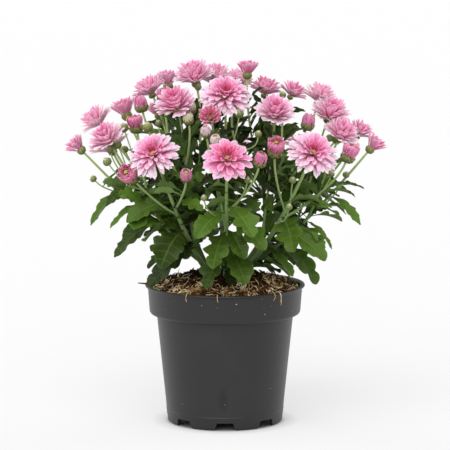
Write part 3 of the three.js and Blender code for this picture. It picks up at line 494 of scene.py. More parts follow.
def new_material(name, **settings):
    """A material and its main shader, with the settings that are the same all over it."""
    material = bpy.data.materials.new(name)
    material.use_nodes = True
    shader = material.node_tree.nodes["Principled BSDF"]
    for socket, value in settings.items():
        shader.inputs[socket.replace("_", " ")].default_value = value
    return material, shader


def connect(material, output, socket):
    material.node_tree.links.new(output, socket)


print("middle grey in linear light:", [round(channel, 3) for channel in linear("#808080")])

# %% [markdown]
# ## The light
# Soft light suits petals, because small hard lights would put a spark on every one of them. Area
# lamps would do, but they light a wide floor unevenly. Lamps of the sun kind with a very wide
# disc act as softboxes that light it evenly as far as the lens sees: a strong one from above and
# in front, and a weak one on either side, a little behind. An even pale surround fills the
# shadows among the leaves.

# %% Lights
LIGHTS = {
    "front_softbox": ((-0.25, -1.0, 1.05), 3.1, 70),
    "left_softbox": ((-1.0, 0.6, 0.35), 0.85, 50),
    "right_softbox": ((1.0, 0.6, 0.35), 0.75, 50),
}
for light_name, (place, strength, width) in LIGHTS.items():
    light_data = bpy.data.lights.new(light_name, "SUN")
    light_data.energy = strength
    light_data.angle = math.radians(width)
    light = bpy.data.objects.new(light_name, light_data)
    light.location = place
    x, y, z = unit(np.array(place))
    light.rotation_euler = (math.acos(z), 0.0, math.atan2(y, x) + math.pi / 2)
    bpy.context.scene.collection.objects.link(light)

SURROUND_STRENGTH = 0.55
world = bpy.data.worlds.new("surround")
world.use_nodes = True
surround = world.node_tree.nodes["Background"]
surround.inputs["Color"].default_value = linear("#ffffff")
surround.inputs["Strength"].default_value = SURROUND_STRENGTH
bpy.context.scene.world = world
print("lamps:", ", ".join(LIGHTS))

# %% [markdown]
# ## The paper floor
# The plant stands on a wide sheet of matt white paper, as in a studio. A plain white material would leave a
# grey shadow on it. So the paper also glows, as painted light that thins the shadow, and its own colour is
# set darker, because the glow adds to it. The glow begins only beyond the pot's foot, so that the drainage
# notches stay dark, and it is weaker for the first few centimetres, which paints a faint shadow round the
# pot.

# %% Paper floor
FLOOR_HALF = 14.0
FLOOR_CORNERS = [(-1, -1, 0), (1, -1, 0), (1, 1, 0), (-1, 1, 0)]
GLOW_REACH = 0.2
# Painted light and painted shadow: no glow under the pot, a weaker ring round its foot as a faint shadow,
# then the full glow.
PAINTED_GLOW_AND_SHADOW = [(0.2, "#000000"), (0.23, "#acacac"), (0.28, "#c4c4c4"), (0.5, "#c6c6c6")]
floor_mesh = bpy.data.meshes.new("paper_floor")
floor_mesh.from_pydata((np.array(FLOOR_CORNERS) * FLOOR_HALF).tolist(), [], [(0, 1, 2, 3)])
floor = bpy.data.objects.new("paper_floor", floor_mesh)
bpy.context.scene.collection.objects.link(floor)

paper, paper_shader = new_material(
    "paper_with_painted_glow", Base_Color=linear("#8f8f8f"), Roughness=0.9, Emission_Strength=1.0
)
paper_place = node(paper, "TexCoord")
paper_reach = node(paper, "VectorMath", {0: paper_place.outputs["Object"]}, operation="LENGTH")
paper_share = node(paper, "MapRange", {"Value": paper_reach.outputs["Value"], "From Max": GLOW_REACH})
painted_paper_glow = node(paper, "ValToRGB", {"Fac": paper_share.outputs[0]}, stops=PAINTED_GLOW_AND_SHADOW)
connect(paper, painted_paper_glow.outputs["Color"], paper_shader.inputs["Emission Color"])
floor_mesh.materials.append(paper)
print("floor:", 2 * FLOOR_HALF, "m square, with its full glow from", GLOW_REACH / 2, "m outward")

# %% [markdown]
# ## The petals' material
# A ray petal is living tissue, about a quarter of a millimetre thick. Its upper skin is a carpet
# of tiny cone-shaped cells, which makes it velvety, with no clear reflection, and fine ridges run
# along it. It is palest at its rim and deepens to rose near its root and toward the middle of the
# bloom. Each point of a petal carries how deep its colour is (`blush`), how near the rim it is
# (`rim`) and where it lies from side to side (`across`), so one material serves every bloom and
# bud. Light that scatters inside the tissue, rather than gloss, gives the eye its softness.

# %% Petal materials
# Real ridges are about half a millimetre apart. Here a sine runs through 15 radians from the middle
# of a petal to its rim, which gives five ridges, each a millimetre wide, so that they show.
RIDGE_PITCH = 15.0
RIDGE_TINT = 0.035
RIDGE_HEIGHT = 0.2


def petal_material(name, stops, rim_colour):
    material, shader = new_material(
        name, Roughness=0.55, IOR=1.4, Subsurface_Weight=0.75, Subsurface_Scale=2 * MM,
        Subsurface_Radius=(1.0, 0.55, 0.7), Sheen_Weight=0.15, Sheen_Roughness=0.5,
    )
    blush, rim, across = (
        node(material, "Attribute", attribute_name=key).outputs["Fac"] for key in ("blush", "rim", "across")
    )
    lines = node(material, "Math", {0: across, 1: RIDGE_PITCH}, operation="MULTIPLY")
    ridge = node(material, "Math", {0: lines.outputs[0]}, operation="SINE")
    streak = node(
        material, "Math", {0: ridge.outputs[0], 1: RIDGE_TINT, 2: blush}, operation="MULTIPLY_ADD"
    )
    depth = node(material, "ValToRGB", {"Fac": streak.outputs[0]}, stops=stops)
    paler = node(
        material, "Mix", {0: rim, 6: depth.outputs["Color"], 7: linear(rim_colour)}, data_type="RGBA"
    )
    connect(material, paler.outputs[2], shader.inputs["Base Color"])
    bump = node(
        material, "Bump",
        {"Height": ridge.outputs[0], "Strength": 0.25, "Distance": RIDGE_HEIGHT * MM},
    )
    connect(material, bump.outputs["Normal"], shader.inputs["Normal"])
    return material


PETAL_UPPER = petal_material(
    "ray_petal_upper_skin",
    [(0.0, "#f7d2e3"), (0.25, "#eda6c6"), (0.5, "#e474a5"), (0.75, "#d9457e"), (1.0, "#bc2a5c")],
    "#fee6f1",
)
PETAL_UNDER = petal_material(
    "ray_petal_under_skin",
    [(0.0, "#ddc795"), (0.07, "#ecb9c0"), (0.3, "#ee9dc0"), (0.65, "#de6595"), (1.0, "#bd3867")],
    "#f8dbe8",
)
print("petal materials:", PETAL_UPPER.name, PETAL_UNDER.name)

# %% [markdown]
# ## The green materials
# The calyx scales are leathery and matt, with a thin papery rim that looks pale brown. The small florets of
# the disc are yellow-green and slightly glossy. A young stalk is juicy and faintly mottled, with fine down on
# it that scatters the light into a soft grey-green, and it darkens to brown-green low down, where it is old
# and where painted shade stands for the leaves' shadow. A plain colour would make each look moulded, so each
# takes its colour from a ramp that runs along the part.

# %% Calyx scale skin
CALYX_SKIN, scale_shader = new_material(
    "calyx_scale_skin", Roughness=0.6, IOR=1.42, Subsurface_Weight=0.15, Subsurface_Scale=1 * MM
)
scale_rim = node(CALYX_SKIN, "Attribute", attribute_name="rim")
scale_along = node(CALYX_SKIN, "Attribute", attribute_name="along")
scale_green = node(
    CALYX_SKIN, "ValToRGB", {"Fac": scale_along.outputs["Fac"]},
    stops=[(0.0, "#384b1e"), (0.45, "#5a6f2e"), (0.8, "#8a924e"), (1.0, "#b3a670")],
)
scale_colour = node(
    CALYX_SKIN, "Mix",
    {0: scale_rim.outputs["Fac"], 6: scale_green.outputs["Color"], 7: linear("#a9a878")},
    data_type="RGBA",
)
connect(CALYX_SKIN, scale_colour.outputs[2], scale_shader.inputs["Base Color"])
print("made", CALYX_SKIN.name)

# %% Disc floret skin
DISC, disc_shader = new_material(
    "disc_floret_skin", Roughness=0.5, IOR=1.42, Subsurface_Weight=0.2, Subsurface_Scale=1 * MM
)
disc_along = node(DISC, "Attribute", attribute_name="along")
disc_colour = node(
    DISC, "ValToRGB", {"Fac": disc_along.outputs["Fac"]},
    stops=[(0.0, "#7a4a30"), (0.5, "#9a8638"), (1.0, "#b5a94c")],
)
connect(DISC, disc_colour.outputs["Color"], disc_shader.inputs["Base Color"])
print("made", DISC.name)

# %% Stalk skin
STALK_PATCHES = 180.0  # a metre, so each is about 5.5 mm wide
STALK_SKIN, stalk_shader = new_material(
    "downy_stalk_skin", Roughness=0.65, IOR=1.42, Sheen_Weight=0.35, Sheen_Roughness=0.4
)
# Partly painted shade: the skin is darker low on the stalk, among the leaves, as well as older.
stalk_age_and_shade = node(STALK_SKIN, "Attribute", attribute_name="along")
stalk_place = node(STALK_SKIN, "TexCoord")
stalk_mottle = node(
    STALK_SKIN, "TexNoise",
    {"Vector": stalk_place.outputs["Object"], "Scale": STALK_PATCHES, "Detail": 3.0},
)
stalk_mixed = node(
    STALK_SKIN, "Math",
    {0: stalk_mottle.outputs["Fac"], 1: 0.25, 2: stalk_age_and_shade.outputs["Fac"]}, operation="MULTIPLY_ADD",
)
stalk_colour = node(
    STALK_SKIN, "ValToRGB", {"Fac": stalk_mixed.outputs[0]},
    stops=[(0.0, "#34371a"), (0.25, "#4a6128"), (0.6, "#72904a"), (1.0, "#9db26c")],
)
connect(STALK_SKIN, stalk_colour.outputs["Color"], stalk_shader.inputs["Base Color"])
print("made", STALK_SKIN.name)

# %% [markdown]
# ## Kinds of head
# A chrysanthemum's bloom is a head of many ray petals. They grow round the middle at the golden
# angle, each a little further in and a little shorter than the last: the outer ones lie open, the
# inner ones stand up and hide the disc. So one rule makes every head. For each kind of head it
# holds the root, the bend and the tip of a petal's midline at five ranks, from the outermost
# petal to the innermost, as [radius, height] shares of the head's radius, and the petals between
# are blended. `half_width` and `cup` say how wide and how deeply dished a petal is at each rank.
# `blush` is how deep the colour is, how much deeper toward the middle of the head, and how much
# at the petals' roots, and `rim` is how pale their rims are. `neck` and `middle` say how far below
# its petals the calyx ends and how far below the middle of the head the petals are rooted. `disc`
# is the radius and the height of the disc.

# %% Kinds of head
Kind = namedtuple("Kind", "petals root bend tip half_width cup blush rim neck middle disc")
RANKS = np.linspace(0, 1, 5)
KINDS = {
    "open": Kind(
        petals=84,
        root=[(0.22, 0.02), (0.2, 0.08), (0.17, 0.14), (0.13, 0.19), (0.08, 0.22)],
        bend=[(0.62, 0.28), (0.56, 0.46), (0.44, 0.6), (0.28, 0.62), (0.15, 0.5)],
        tip=[(1.06, 0.08), (0.9, 0.34), (0.69, 0.56), (0.44, 0.7), (0.19, 0.6)],
        half_width=[0.11, 0.104, 0.092, 0.08, 0.066],
        cup=[0.22, 0.3, 0.4, 0.6, 0.9],
        blush=(0.15, 0.56, 0.5),
        rim=0.5, neck=0.21, middle=0.3, disc=(0.1, 0.2),
    ),
    "half": Kind(
        petals=46,
        root=[(0.37, 0.0), (0.33, 0.1), (0.27, 0.18), (0.2, 0.24), (0.12, 0.28)],
        bend=[(0.66, 0.42), (0.54, 0.58), (0.42, 0.68), (0.28, 0.7), (0.14, 0.7)],
        tip=[(1.02, 0.9), (0.9, 1.05), (0.7, 1.12), (0.46, 1.1), (0.22, 0.95)],
        half_width=[0.17, 0.155, 0.135, 0.115, 0.09],
        cup=[0.4, 0.45, 0.5, 0.6, 0.8],
        blush=(0.34, 0.45, 0.4),
        rim=0.5, neck=0.52, middle=0.5, disc=(0.16, 0.28),
    ),
    "opening": Kind(
        petals=46,
        root=[(0.7, -0.05), (0.6, 0.1), (0.48, 0.2), (0.38, 0.25), (0.3, 0.3)],
        bend=[(1.16, 0.8), (1.04, 0.9), (0.9, 0.96), (0.76, 0.95), (0.62, 0.9)],
        tip=[(0.98, 1.44), (0.82, 1.52), (0.66, 1.52), (0.5, 1.46), (0.36, 1.36)],
        half_width=[0.29, 0.26, 0.22, 0.17, 0.13],
        cup=[0.5, 0.5, 0.5, 0.6, 0.7],
        blush=(0.66, 0.16, 0.15),
        rim=0.4, neck=0.72, middle=0.7, disc=(0.24, 1.2),
    ),
    "closed": Kind(
        petals=30,
        root=[(0.78, -0.1), (0.7, 0.05), (0.58, 0.2), (0.44, 0.3), (0.34, 0.3)],
        bend=[(1.22, 0.75), (1.16, 0.95), (1.06, 1.05), (0.9, 1.1), (0.7, 1.05)],
        tip=[(0.52, 1.62), (0.46, 1.66), (0.4, 1.66), (0.34, 1.62), (0.28, 1.54)],
        half_width=[0.35, 0.32, 0.27, 0.2, 0.14],
        cup=[0.5, 0.5, 0.5, 0.5, 0.5],
        blush=(0.64, 0.1, 0.05),
        rim=0.3, neck=0.66, middle=0.6, disc=(0.3, 1.34),
    ),
    "green": Kind(
        petals=10,
        root=[(0.5, 1.2)] * 5,
        bend=[(0.62, 1.66)] * 5,
        tip=[(0.2, 1.74), (0.16, 1.75), (0.12, 1.76), (0.08, 1.76), (0.04, 1.76)],
        half_width=[0.28, 0.26, 0.22, 0.18, 0.12],
        cup=[0.3] * 5,
        blush=(0.0, 0.06, 0.1),
        rim=0.3, neck=0.0, middle=0.0, disc=None,
    ),
}
PETAL_THICKNESS = 0.28
SEAT_GAP = 0.3
print("kinds of head:", ", ".join(KINDS))

# %% [markdown]
# ## What sets one head apart
# No two heads on a plant have opened to the same day. The outer side blooms are younger than the
# large front ones: their petals still rise, are broader for their length and a little paler, and
# the whole head sits lower on its calyx. The front blooms A to D are the oldest, so each has its
# own number of petals and its own petal width, and some heads and buds are a shade deeper or, as
# the buds that barely show colour, far paler. Names in a table say this more plainly than random
# draws would, because these heads are seen from near.

# %% Own traits
YOUNG_SIZE = 32.5
YOUNG_RISE = np.array([0.27, 0.33, 0.35, 0.34, 0.3])
YOUNG_WIDTH = 1.24
YOUNG_BLUSH = -0.07
YOUNG_SINK = 0.2
WIDTHS = {"A": 1.35, "B": 0.95, "C": 0.95, "D": 0.92}
PETAL_COUNTS = {"A": 52, "B": 102, "C": 102, "D": 104}
DEEPER = {
    "A": 0.22, "B": -0.02, "C": -0.02, "D": -0.02, "E": 0.06, "G": 0.04, "H": 0.06, "K": 0.1,
    "M": 0.1, "N": 0.12, "P": 0.16, "Q": 0.16, "T2": 0.1, "U": 0.12, "a": 0.38, "b": 0.12,
    "c": 0.16, "d": 0.1, "e": 0.06, "f": 0.08, "j": -0.58, "k": -0.5, "l": -0.62, "m": -0.62,
}


def is_young(head):
    return head.kind == "open" and head.size < YOUNG_SIZE


def sunk(head):
    """How far below a head's place its petals are rooted, in millimetres."""
    return (KINDS[head.kind].middle + YOUNG_SINK * is_young(head)) * head.size / 2


print("young side blooms:", sum(is_young(head) for head in ALL_HEADS))

# %% [markdown]
# ## One petal
# Each petal is a spoon: narrow at the root, widest past the middle, rounded at its tip, cupped
# across, and bent, turned and shortened at random by a little. Sculpting one and copying it would
# make them all alike. Here a blade is a grid of rows along it and columns across it, and the
# rule below bends that grid for all the petals of a head at once. The draws are seeded.

# %% A petal's midline
Blade = namedtuple("Blade", "rows spoon columns rounding wobble")
PETAL = Blade(
    rows=np.array([0.0, 0.22, 0.46, 0.68, 0.85, 0.95, 1.0]),
    spoon=np.array([0.28, 0.46, 0.74, 0.97, 1.0, 0.82, 0.42]),
    columns=np.linspace(-1, 1, 5), rounding=0.07, wobble=1.0,
)
LENGTH_SWAY = (-0.12, 0.06)
LIFT_SWAY = 0.045


def by_rank(values, ranks):
    """Numbers or [radius, height] pairs given at the five ranks, blended for these ranks."""
    values = np.asarray(values, float)
    if values.ndim == 1:
        return np.interp(ranks, RANKS, values)
    return np.stack([np.interp(ranks, RANKS, values[:, k]) for k in range(2)], -1)


def midlines(blade, ranks, root, bend, tip, draw):
    """The three controls of each blade's midline, [radius, height], shortened and lifted a bit."""
    roots, bends, tips = (by_rank(values, ranks) for values in (root, bend, tip))
    length = 1 + blade.wobble * draw.uniform(*LENGTH_SWAY, len(ranks))
    lift = blade.wobble * draw.normal(0, LIFT_SWAY, len(ranks))
    tips = roots + (tips - roots) * length[:, None]
    tips[:, 1] += lift
    bends = roots + (bends - roots) * length[:, None]
    bends[:, 1] += lift / 2
    return [points[:, None, None, :] for points in (roots, bends, tips)]


print("points of a petal's grid:", PETAL.rows.size * PETAL.columns.size)

# %% A petal's grid
WIDTH_SWAY = (-0.12, 0.12)
TWIST_SWAY = 0.22
SIDE_SWAY = 0.07
DISH_LEVEL = 0.3
RIPPLE = 0.05
RIPPLES = 3


def petal_grid(blade, ranks, turns, root, bend, tip, half_width, cup, draw):
    """Grids of blades in a head's own frame, in radii. Each control is given at five ranks."""
    count = len(ranks)
    controls = midlines(blade, ranks, root, bend, tip, draw)
    across = blade.columns[None, None, :]
    rows = blade.rows[None, :, None] - blade.rounding * across**2 * blade.rows[None, :, None] ** 4
    rows = np.broadcast_to(rows, (count, len(blade.rows), len(blade.columns)))
    shares = rows[..., None]
    middle = bezier(controls, shares)
    along = bezier_direction(controls, shares)
    normal = np.stack([-along[..., 1], along[..., 0]], -1)
    sway = 1 + blade.wobble * draw.uniform(*WIDTH_SWAY, count)
    width = (by_rank(half_width, ranks) * sway)[:, None, None]
    width = width * blade.spoon[None, :, None]
    twist = blade.wobble * draw.normal(0, TWIST_SWAY, count)[:, None, None] * rows
    out = across * width * np.cos(twist)
    dish = by_rank(cup, ranks)[:, None, None] * width * (across**2 - DISH_LEVEL)
    ripple = RIPPLE * width * np.cos(across * RIPPLES * math.pi)
    raised = dish + ripple + across * width * np.sin(twist)
    place = middle + normal * raised[..., None]
    sideways = blade.wobble * draw.normal(0, SIDE_SWAY, count)[:, None, None] * rows**2
    angle = turns[:, None, None] + sideways
    grid = np.stack([
        place[..., 0] * np.cos(angle) - out * np.sin(angle),
        place[..., 0] * np.sin(angle) + out * np.cos(angle),
        place[..., 1],
    ], -1)
    return grid, rows


def placed(points, seat, axis, radius):
    """Points of a head's own frame, in radii, as points of the plant in millimetres."""
    first, second = frame_on(axis)
    return seat + radius * (points[..., :1] * first + points[..., 1:2] * second + points[..., 2:] * axis)


print("ripples across half a petal:", RIPPLES / 2)

# %% [markdown]
# ## A head of petals
# The ranks run from below nought, so that the outer third of the petals all count as outermost and form a
# full rim of rays. The rim of a petal is paler, most of all on the outer petals, and its root is deeper:
# partly its own sap colour, and partly painted shade, which keeps the shadows among the petals rose rather
# than grey.

# %% Petals of a head
OUTER_SHARE = 0.35
TURN_SWAY = 0.09
BLUSH_SWAY = 0.03
INNER_POWER = 1.6
RIM_FADES_INWARD = 0.75
SIDE_POWER, TIP_POWER = 4, 8  # the higher, the thinner the pale rim along the sides and the tip


def seat_of(head, gap=SEAT_GAP):
    """The place on a head's axis from which its petals rise."""
    return np.array(head.at) + leaning(*head.lean) * (gap - sunk(head))


def add_petals(shape, head, draw, finishes):
    kind = KINDS[head.kind]
    young = is_young(head)
    count = PETAL_COUNTS.get(head.name, kind.petals)
    ranks = np.clip(np.linspace(-OUTER_SHARE, 1, count), 0, 1)
    turns = np.arange(count) * GOLDEN_ANGLE + draw.normal(0, TURN_SWAY, count)
    usual_width = YOUNG_WIDTH if young else 1.0
    half_width = np.array(kind.half_width) * WIDTHS.get(head.name, usual_width)
    tip = np.array(kind.tip) + young * YOUNG_RISE[:, None] * np.array([0, 1])
    grid, rows = petal_grid(
        PETAL, ranks, turns, kind.root, kind.bend, tip, half_width, kind.cup, draw
    )
    points, faces, spread = shell(
        placed(grid, seat_of(head), leaning(*head.lean), head.size / 2), PETAL_THICKNESS
    )
    across = PETAL.columns[None, None, :]
    palest, deeper, at_root = kind.blush
    palest = palest + young * YOUNG_BLUSH + DEEPER.get(head.name, 0.0)
    inner = ranks[:, None, None] ** INNER_POWER
    # Deeper at the root: partly the petal's own colour, partly painted shade where the petals overlap.
    blush = palest + deeper * inner + at_root * (1 - rows) ** 2
    blush = blush + draw.normal(0, BLUSH_SWAY, (count, 1, 1))
    near_rim = np.maximum(np.abs(across) ** SIDE_POWER, rows**TIP_POWER)
    rim = kind.rim * near_rim * (1 - RIM_FADES_INWARD * inner) * np.sqrt(rows)
    shape.add(
        points, faces, finishes,
        blush=spread(blush), rim=spread(rim), across=spread(np.broadcast_to(across, rows.shape)),
    )


print("petals of an open bloom:", KINDS["open"].petals)

# %% [markdown]
# ## The disc
# In the middle of an open bloom a few dozen tiny tube-shaped florets stand close together. They
# could be bumps in a material, but the light catches their round tops, so each one is a small
# closed knob, set out at the golden angle on a low dome. Nineteen show the pattern, because the
# petals hide the rest.

# %% Disc florets
DISC_FLORETS = 19
DISC_SIDES = 16
DOME_FOOT = -0.02
DOME_SHOULDER = 0.6
DOME_RISE = 0.05
DOME_TIP = 0.01
DOME_TONE = 0.2
KNOB_SIDES = 6
KNOB_HEIGHTS = np.array([0.0, 0.06, 0.1, 0.115])
KNOB_WIDTHS = np.array([0.5, 0.9, 1.0, 0.3])
KNOB_TONES = [0.0, 0.5, 0.9, 1.0]
KNOB_RADIUS = 0.022
KNOB_GROWTH = 0.125
TALLEST_KNOB = 1.15
LOWER_OUTWARD = 0.3


def add_disc(shape, head, finish):
    axis = leaning(*head.lean)
    side = frame_on(axis)[0]
    radius = head.size / 2
    seat = seat_of(head)
    reach, height = KINDS[head.kind].disc
    dome = np.array([
        (reach, DOME_FOOT), (reach, height * DOME_SHOULDER), (reach, height), (DOME_TIP, height + DOME_RISE),
    ])
    points, faces = tube(seat + axis * radius * dome[:, 1:], axis, dome[:, 0] * radius, side, DISC_SIDES)
    shape.add(points, faces, finish, along=DOME_TONE)
    for k in range(DISC_FLORETS):
        out = reach * math.sqrt((k + 0.5) / DISC_FLORETS)
        turn = k * GOLDEN_ANGLE
        foot = np.array([out * math.cos(turn), out * math.sin(turn), height])
        knob = foot + KNOB_HEIGHTS[:, None] * UP * (TALLEST_KNOB - out / reach * LOWER_OUTWARD)
        widths = KNOB_WIDTHS * (KNOB_RADIUS + reach * KNOB_GROWTH) * radius
        points, faces = tube(placed(knob, seat, axis, radius), axis, widths, side, KNOB_SIDES)
        shape.add(points, faces, finish, along=np.repeat(KNOB_TONES, KNOB_SIDES))


print("florets in a disc:", DISC_FLORETS)

# %% [markdown]
# ## Blooms and pink buds
# Every head that shows colour becomes one piece: its petals with their two skins, and its disc.
# Each takes the name of the CAD node that it stands for, and its own seed, so that changing one
# head leaves the others as they are.

# %% Blooms and pink buds
HEAD_NAMES = {
    "open": "bloom", "half": "half_open_bloom", "opening": "opening_bloom", "closed": "pink_bud",
}
BLOOM_FINISHES = [PETAL_UPPER, PETAL_UNDER, DISC]
BLOOM_PETAL, BLOOM_DISC = [0, 1], 2
counts = dict.fromkeys(HEAD_NAMES, 0)
petal_triangles = 0
for serial, head in enumerate(ALL_HEADS):
    if head.kind == "green":
        continue
    counts[head.kind] += 1
    node_name = f"{HEAD_NAMES[head.kind]}_{counts[head.kind]:02d}"
    shape = Shape()
    add_petals(shape, head, np.random.default_rng(serial + 1), BLOOM_PETAL)
    add_disc(shape, head, BLOOM_DISC)
    slot = "petals" if head.kind in ("open", "half") else "buds"
    bloom = shape.piece(f"petals_{node_name}", BLOOM_FINISHES, slot, node_name)
    petal_triangles += triangles_of(bloom)
print("heads with petals:", sum(counts.values()), "triangles:", petal_triangles)

# %% [markdown]
# ## Stalks
# A stalk spreads outward first and then rises to its head, as shoots do toward the light. A
# cubic Bezier curve says just that: where it starts, which way it leaves, which way it arrives,
# where it ends. Main stalks carry more heads, so they are thicker, and every stalk thins toward
# its head. A main stalk starts in its hole in the soil.

# %% Where stalks run
POT_HEIGHT = 104.0
SOIL_DROP = 3.5
SOIL_MOUND = 12.0
COLLAR_TOP_RADIUS = 58.0
CLEAR_OF_SOIL = 2.0
SPREAD = np.array([1.8, 1.8, 1.0])
START_PULL = 0.3
END_PULL = 0.28


def soil_height(radius):
    """Height of the soil's smooth surface at a distance from the pot's axis."""
    return POT_HEIGHT - SOIL_DROP + SOIL_MOUND * (1 - np.minimum(radius / COLLAR_TOP_RADIUS, 1) ** 2)


def stalk_curves(stem):
    """The Bezier controls of each head's stalk, by the head's name."""
    curves = {}
    for head in stem.heads:
        axis = leaning(*head.lean)
        end = np.array(head.at) - axis * (sunk(head) + KINDS[head.kind].neck * head.size / 2)
        if head.on:
            start = bezier(curves[head.on], head.share)
        else:
            start = FOOT_RADIUS * around(math.radians(stem.bearing))[0]
            start[2] = soil_height(FOOT_RADIUS) + CLEAR_OF_SOIL
        reach = np.linalg.norm(end - start)
        leave = start + unit((end - start) * SPREAD) * reach * START_PULL
        arrive = end - axis * reach * END_PULL
        curves[head.name] = [start, leave, arrive, end]
    return curves


print("soil at the pot's axis:", soil_height(0), "mm up")

# %% Stalk rule
HOLE_DEPTH = 14.0
MAIN_STALK_RADIUS = 2.2
BRANCH_RADIUS = 1.55
GREEN_TIP_RADIUS = 0.52
STALK_TIP_RADIUS = 0.82
RADIUS_PER_HEAD = 0.15
LENGTH_STEPS = 40
FEWEST_STEPS = 6
STALK_STEP = 4.0
STALK_SIDES = 9
PALE_FROM = 130.0  # mm above the pot, where a stalk's skin is at its youngest


def heads_carried(stem, head):
    return 1 + sum(heads_carried(stem, other) for other in stem.heads if other.on == head.name)


def curve_length(controls):
    points = bezier(controls, np.linspace(0, 1, LENGTH_STEPS)[:, None])
    return np.linalg.norm(np.diff(points, axis=0), axis=1).sum()


def add_stalk(shape, stem, head, controls, finish):
    """A tube along the stalk's curve. Its value `along` rises with height, as its skin grows younger and as
    the painted shade low among the leaves fades.
    """
    steps = max(FEWEST_STEPS, int(curve_length(controls) / STALK_STEP))
    shares = np.linspace(0, 1, steps + 1)
    centres = bezier(controls, shares[:, None])
    along = bezier_direction(controls, shares[:, None])
    tip = GREEN_TIP_RADIUS if head.kind == "green" else STALK_TIP_RADIUS
    grown = tip + RADIUS_PER_HEAD * (heads_carried(stem, head) - 1)
    start = min(grown, BRANCH_RADIUS) if head.on else MAIN_STALK_RADIUS
    radii = start + (tip - start) * shares
    if not head.on:
        foot = centres[:1] - UP * (CLEAR_OF_SOIL + HOLE_DEPTH / 2)
        centres = np.concatenate([foot, centres])
        along = np.concatenate([UP[None], along])
        radii = np.concatenate([[start], radii])
    side = around(math.radians(sum(stem.wedge) / 2))[1]
    points, faces = tube(centres, along, radii, side, STALK_SIDES)
    # Darker low down: partly the skin's age, partly painted shade among the leaves.
    age = np.clip((points[:, 2] - POT_HEIGHT) / PALE_FROM, 0, 1)
    shape.add(points, faces, finish, along=age)


print("heads carried by the front stem's main stalk:", heads_carried(FRONT, FRONT.heads[0]))

# %% [markdown]
# ## Calyxes and green buds
# Under each head sits a calyx, a green cup clad in three rows of overlapping scales. A bud that
# is still closed is nothing but calyx, with a little cream at its top where the petals will
# break out. The cup is turned like a bowl on the head's axis, and the scales are petals of
# another shape: short, flat and pressed to the cup. On opening and closed buds the cup's rim is
# left off, because the petals swell out over it.

# %% Calyx cup
CUPS = {
    "open": [(0.0, -1.0), (0.08, -0.96), (0.22, -0.8), (0.21, 0.08)],
    "half": [(0.0, -1.0), (0.24, -0.96), (0.42, -0.6), (0.38, 0.1)],
    "opening": [(0.0, -1.0), (0.5, -1.02), (0.91, -0.5), (0.92, 0.5)],
    "closed": [(0.0, -1.0), (0.5, -1.02), (0.96, -0.5), (0.97, 0.75)],
    "green": [(0.25, -0.02), (1.1, 0.1), (1.2, 1.45), (0.3, 1.72)],
}
CUP_STEPS = 8
CALYX_SIDES = 14
CUP_TONES = (0.2, 0.5)


def calyx_profile(head):
    """The cup from the stalk to its rim, [radius, height] in radii, rounded by a curve."""
    stations = np.array(CUPS[head.kind])
    if head.kind != "green":
        stations[:, 1] *= KINDS[head.kind].neck
        stations[0, 0] = STALK_TIP_RADIUS / (head.size / 2)
    return bezier(list(stations), np.linspace(0, 1, CUP_STEPS)[:, None])


def add_calyx(shape, head, draw, finish):
    axis = leaning(*head.lean)
    radius = head.size / 2
    seat = seat_of(head, gap=0)
    profile = calyx_profile(head)
    body = profile[:-1] if head.kind in ("opening", "closed") else profile
    centres = seat + axis * radius * body[:, 1:]
    points, faces = tube(centres, axis, body[:, 0] * radius, frame_on(axis)[0], CALYX_SIDES)
    height = np.repeat(np.linspace(0, 1, len(body)), CALYX_SIDES)
    lowest, rise = CUP_TONES
    shape.add(points, faces, finish, along=lowest + rise * height)
    add_scales(shape, head, profile, seat, draw, finish)


print("cups:", ", ".join(CUPS))

# %% Calyx scales
SCALE = Blade(
    rows=np.array([0.0, 0.4, 0.75, 1.0]), spoon=np.array([0.8, 1.0, 0.75, 0.25]),
    columns=np.linspace(-1, 1, 3), rounding=0.25, wobble=0.5,
)
SCALE_ROWS = 3
SCALES_IN_ROW = 9
SCALE_THICKNESS = 0.2
SCALE_STARTS = np.linspace(0.05, 0.4, len(RANKS))
SCALE_ENDS = np.linspace(0.6, 1.0, len(RANKS))
ROOT_GROWTH = 0.9
TIP_GROWTH = 1.04
SCALE_CUP = -0.3
SCALE_RIM = 0.5
SCALE_SIDE_POWER, SCALE_TIP_POWER = 3, 6
SCALE_TONES = (0.55, 0.4)


def add_scales(shape, head, profile, seat, draw, finish):
    """Rows of scales pressed to the cup, each scale a small blade that follows its curve."""
    ranks = np.repeat(np.linspace(0, 1, SCALE_ROWS), SCALES_IN_ROW)
    turns = (np.tile(np.arange(SCALES_IN_ROW), SCALE_ROWS) + ranks) / SCALES_IN_ROW * FULL_TURN
    places = np.linspace(0, 1, len(profile))

    def on_cup(shares, grow):
        out = np.interp(shares, places, profile[:, 0])
        return np.stack([out * grow, np.interp(shares, places, profile[:, 1])], -1)

    root = on_cup(SCALE_STARTS, ROOT_GROWTH)
    tip = on_cup(SCALE_ENDS, TIP_GROWTH)
    bend = 2 * on_cup((SCALE_STARTS + SCALE_ENDS) / 2, TIP_GROWTH) - (root + tip) / 2
    width = profile[:, 0].max() * math.pi / SCALES_IN_ROW
    alike = np.ones(len(RANKS))
    grid, rows = petal_grid(
        SCALE, ranks, turns, root, bend, tip, width * alike, SCALE_CUP * alike, draw
    )
    points, faces, spread = shell(
        placed(grid, seat, leaning(*head.lean), head.size / 2), SCALE_THICKNESS
    )
    across = np.broadcast_to(SCALE.columns[None, None, :], rows.shape)
    rim = SCALE_RIM * np.maximum(np.abs(across) ** SCALE_SIDE_POWER, rows**SCALE_TIP_POWER)
    lowest, rise = SCALE_TONES
    along = rows * (lowest + rise * ranks[:, None, None])
    shape.add(points, faces, finish, rim=spread(rim), along=spread(along))


print("scales on a calyx:", SCALE_ROWS * SCALES_IN_ROW)

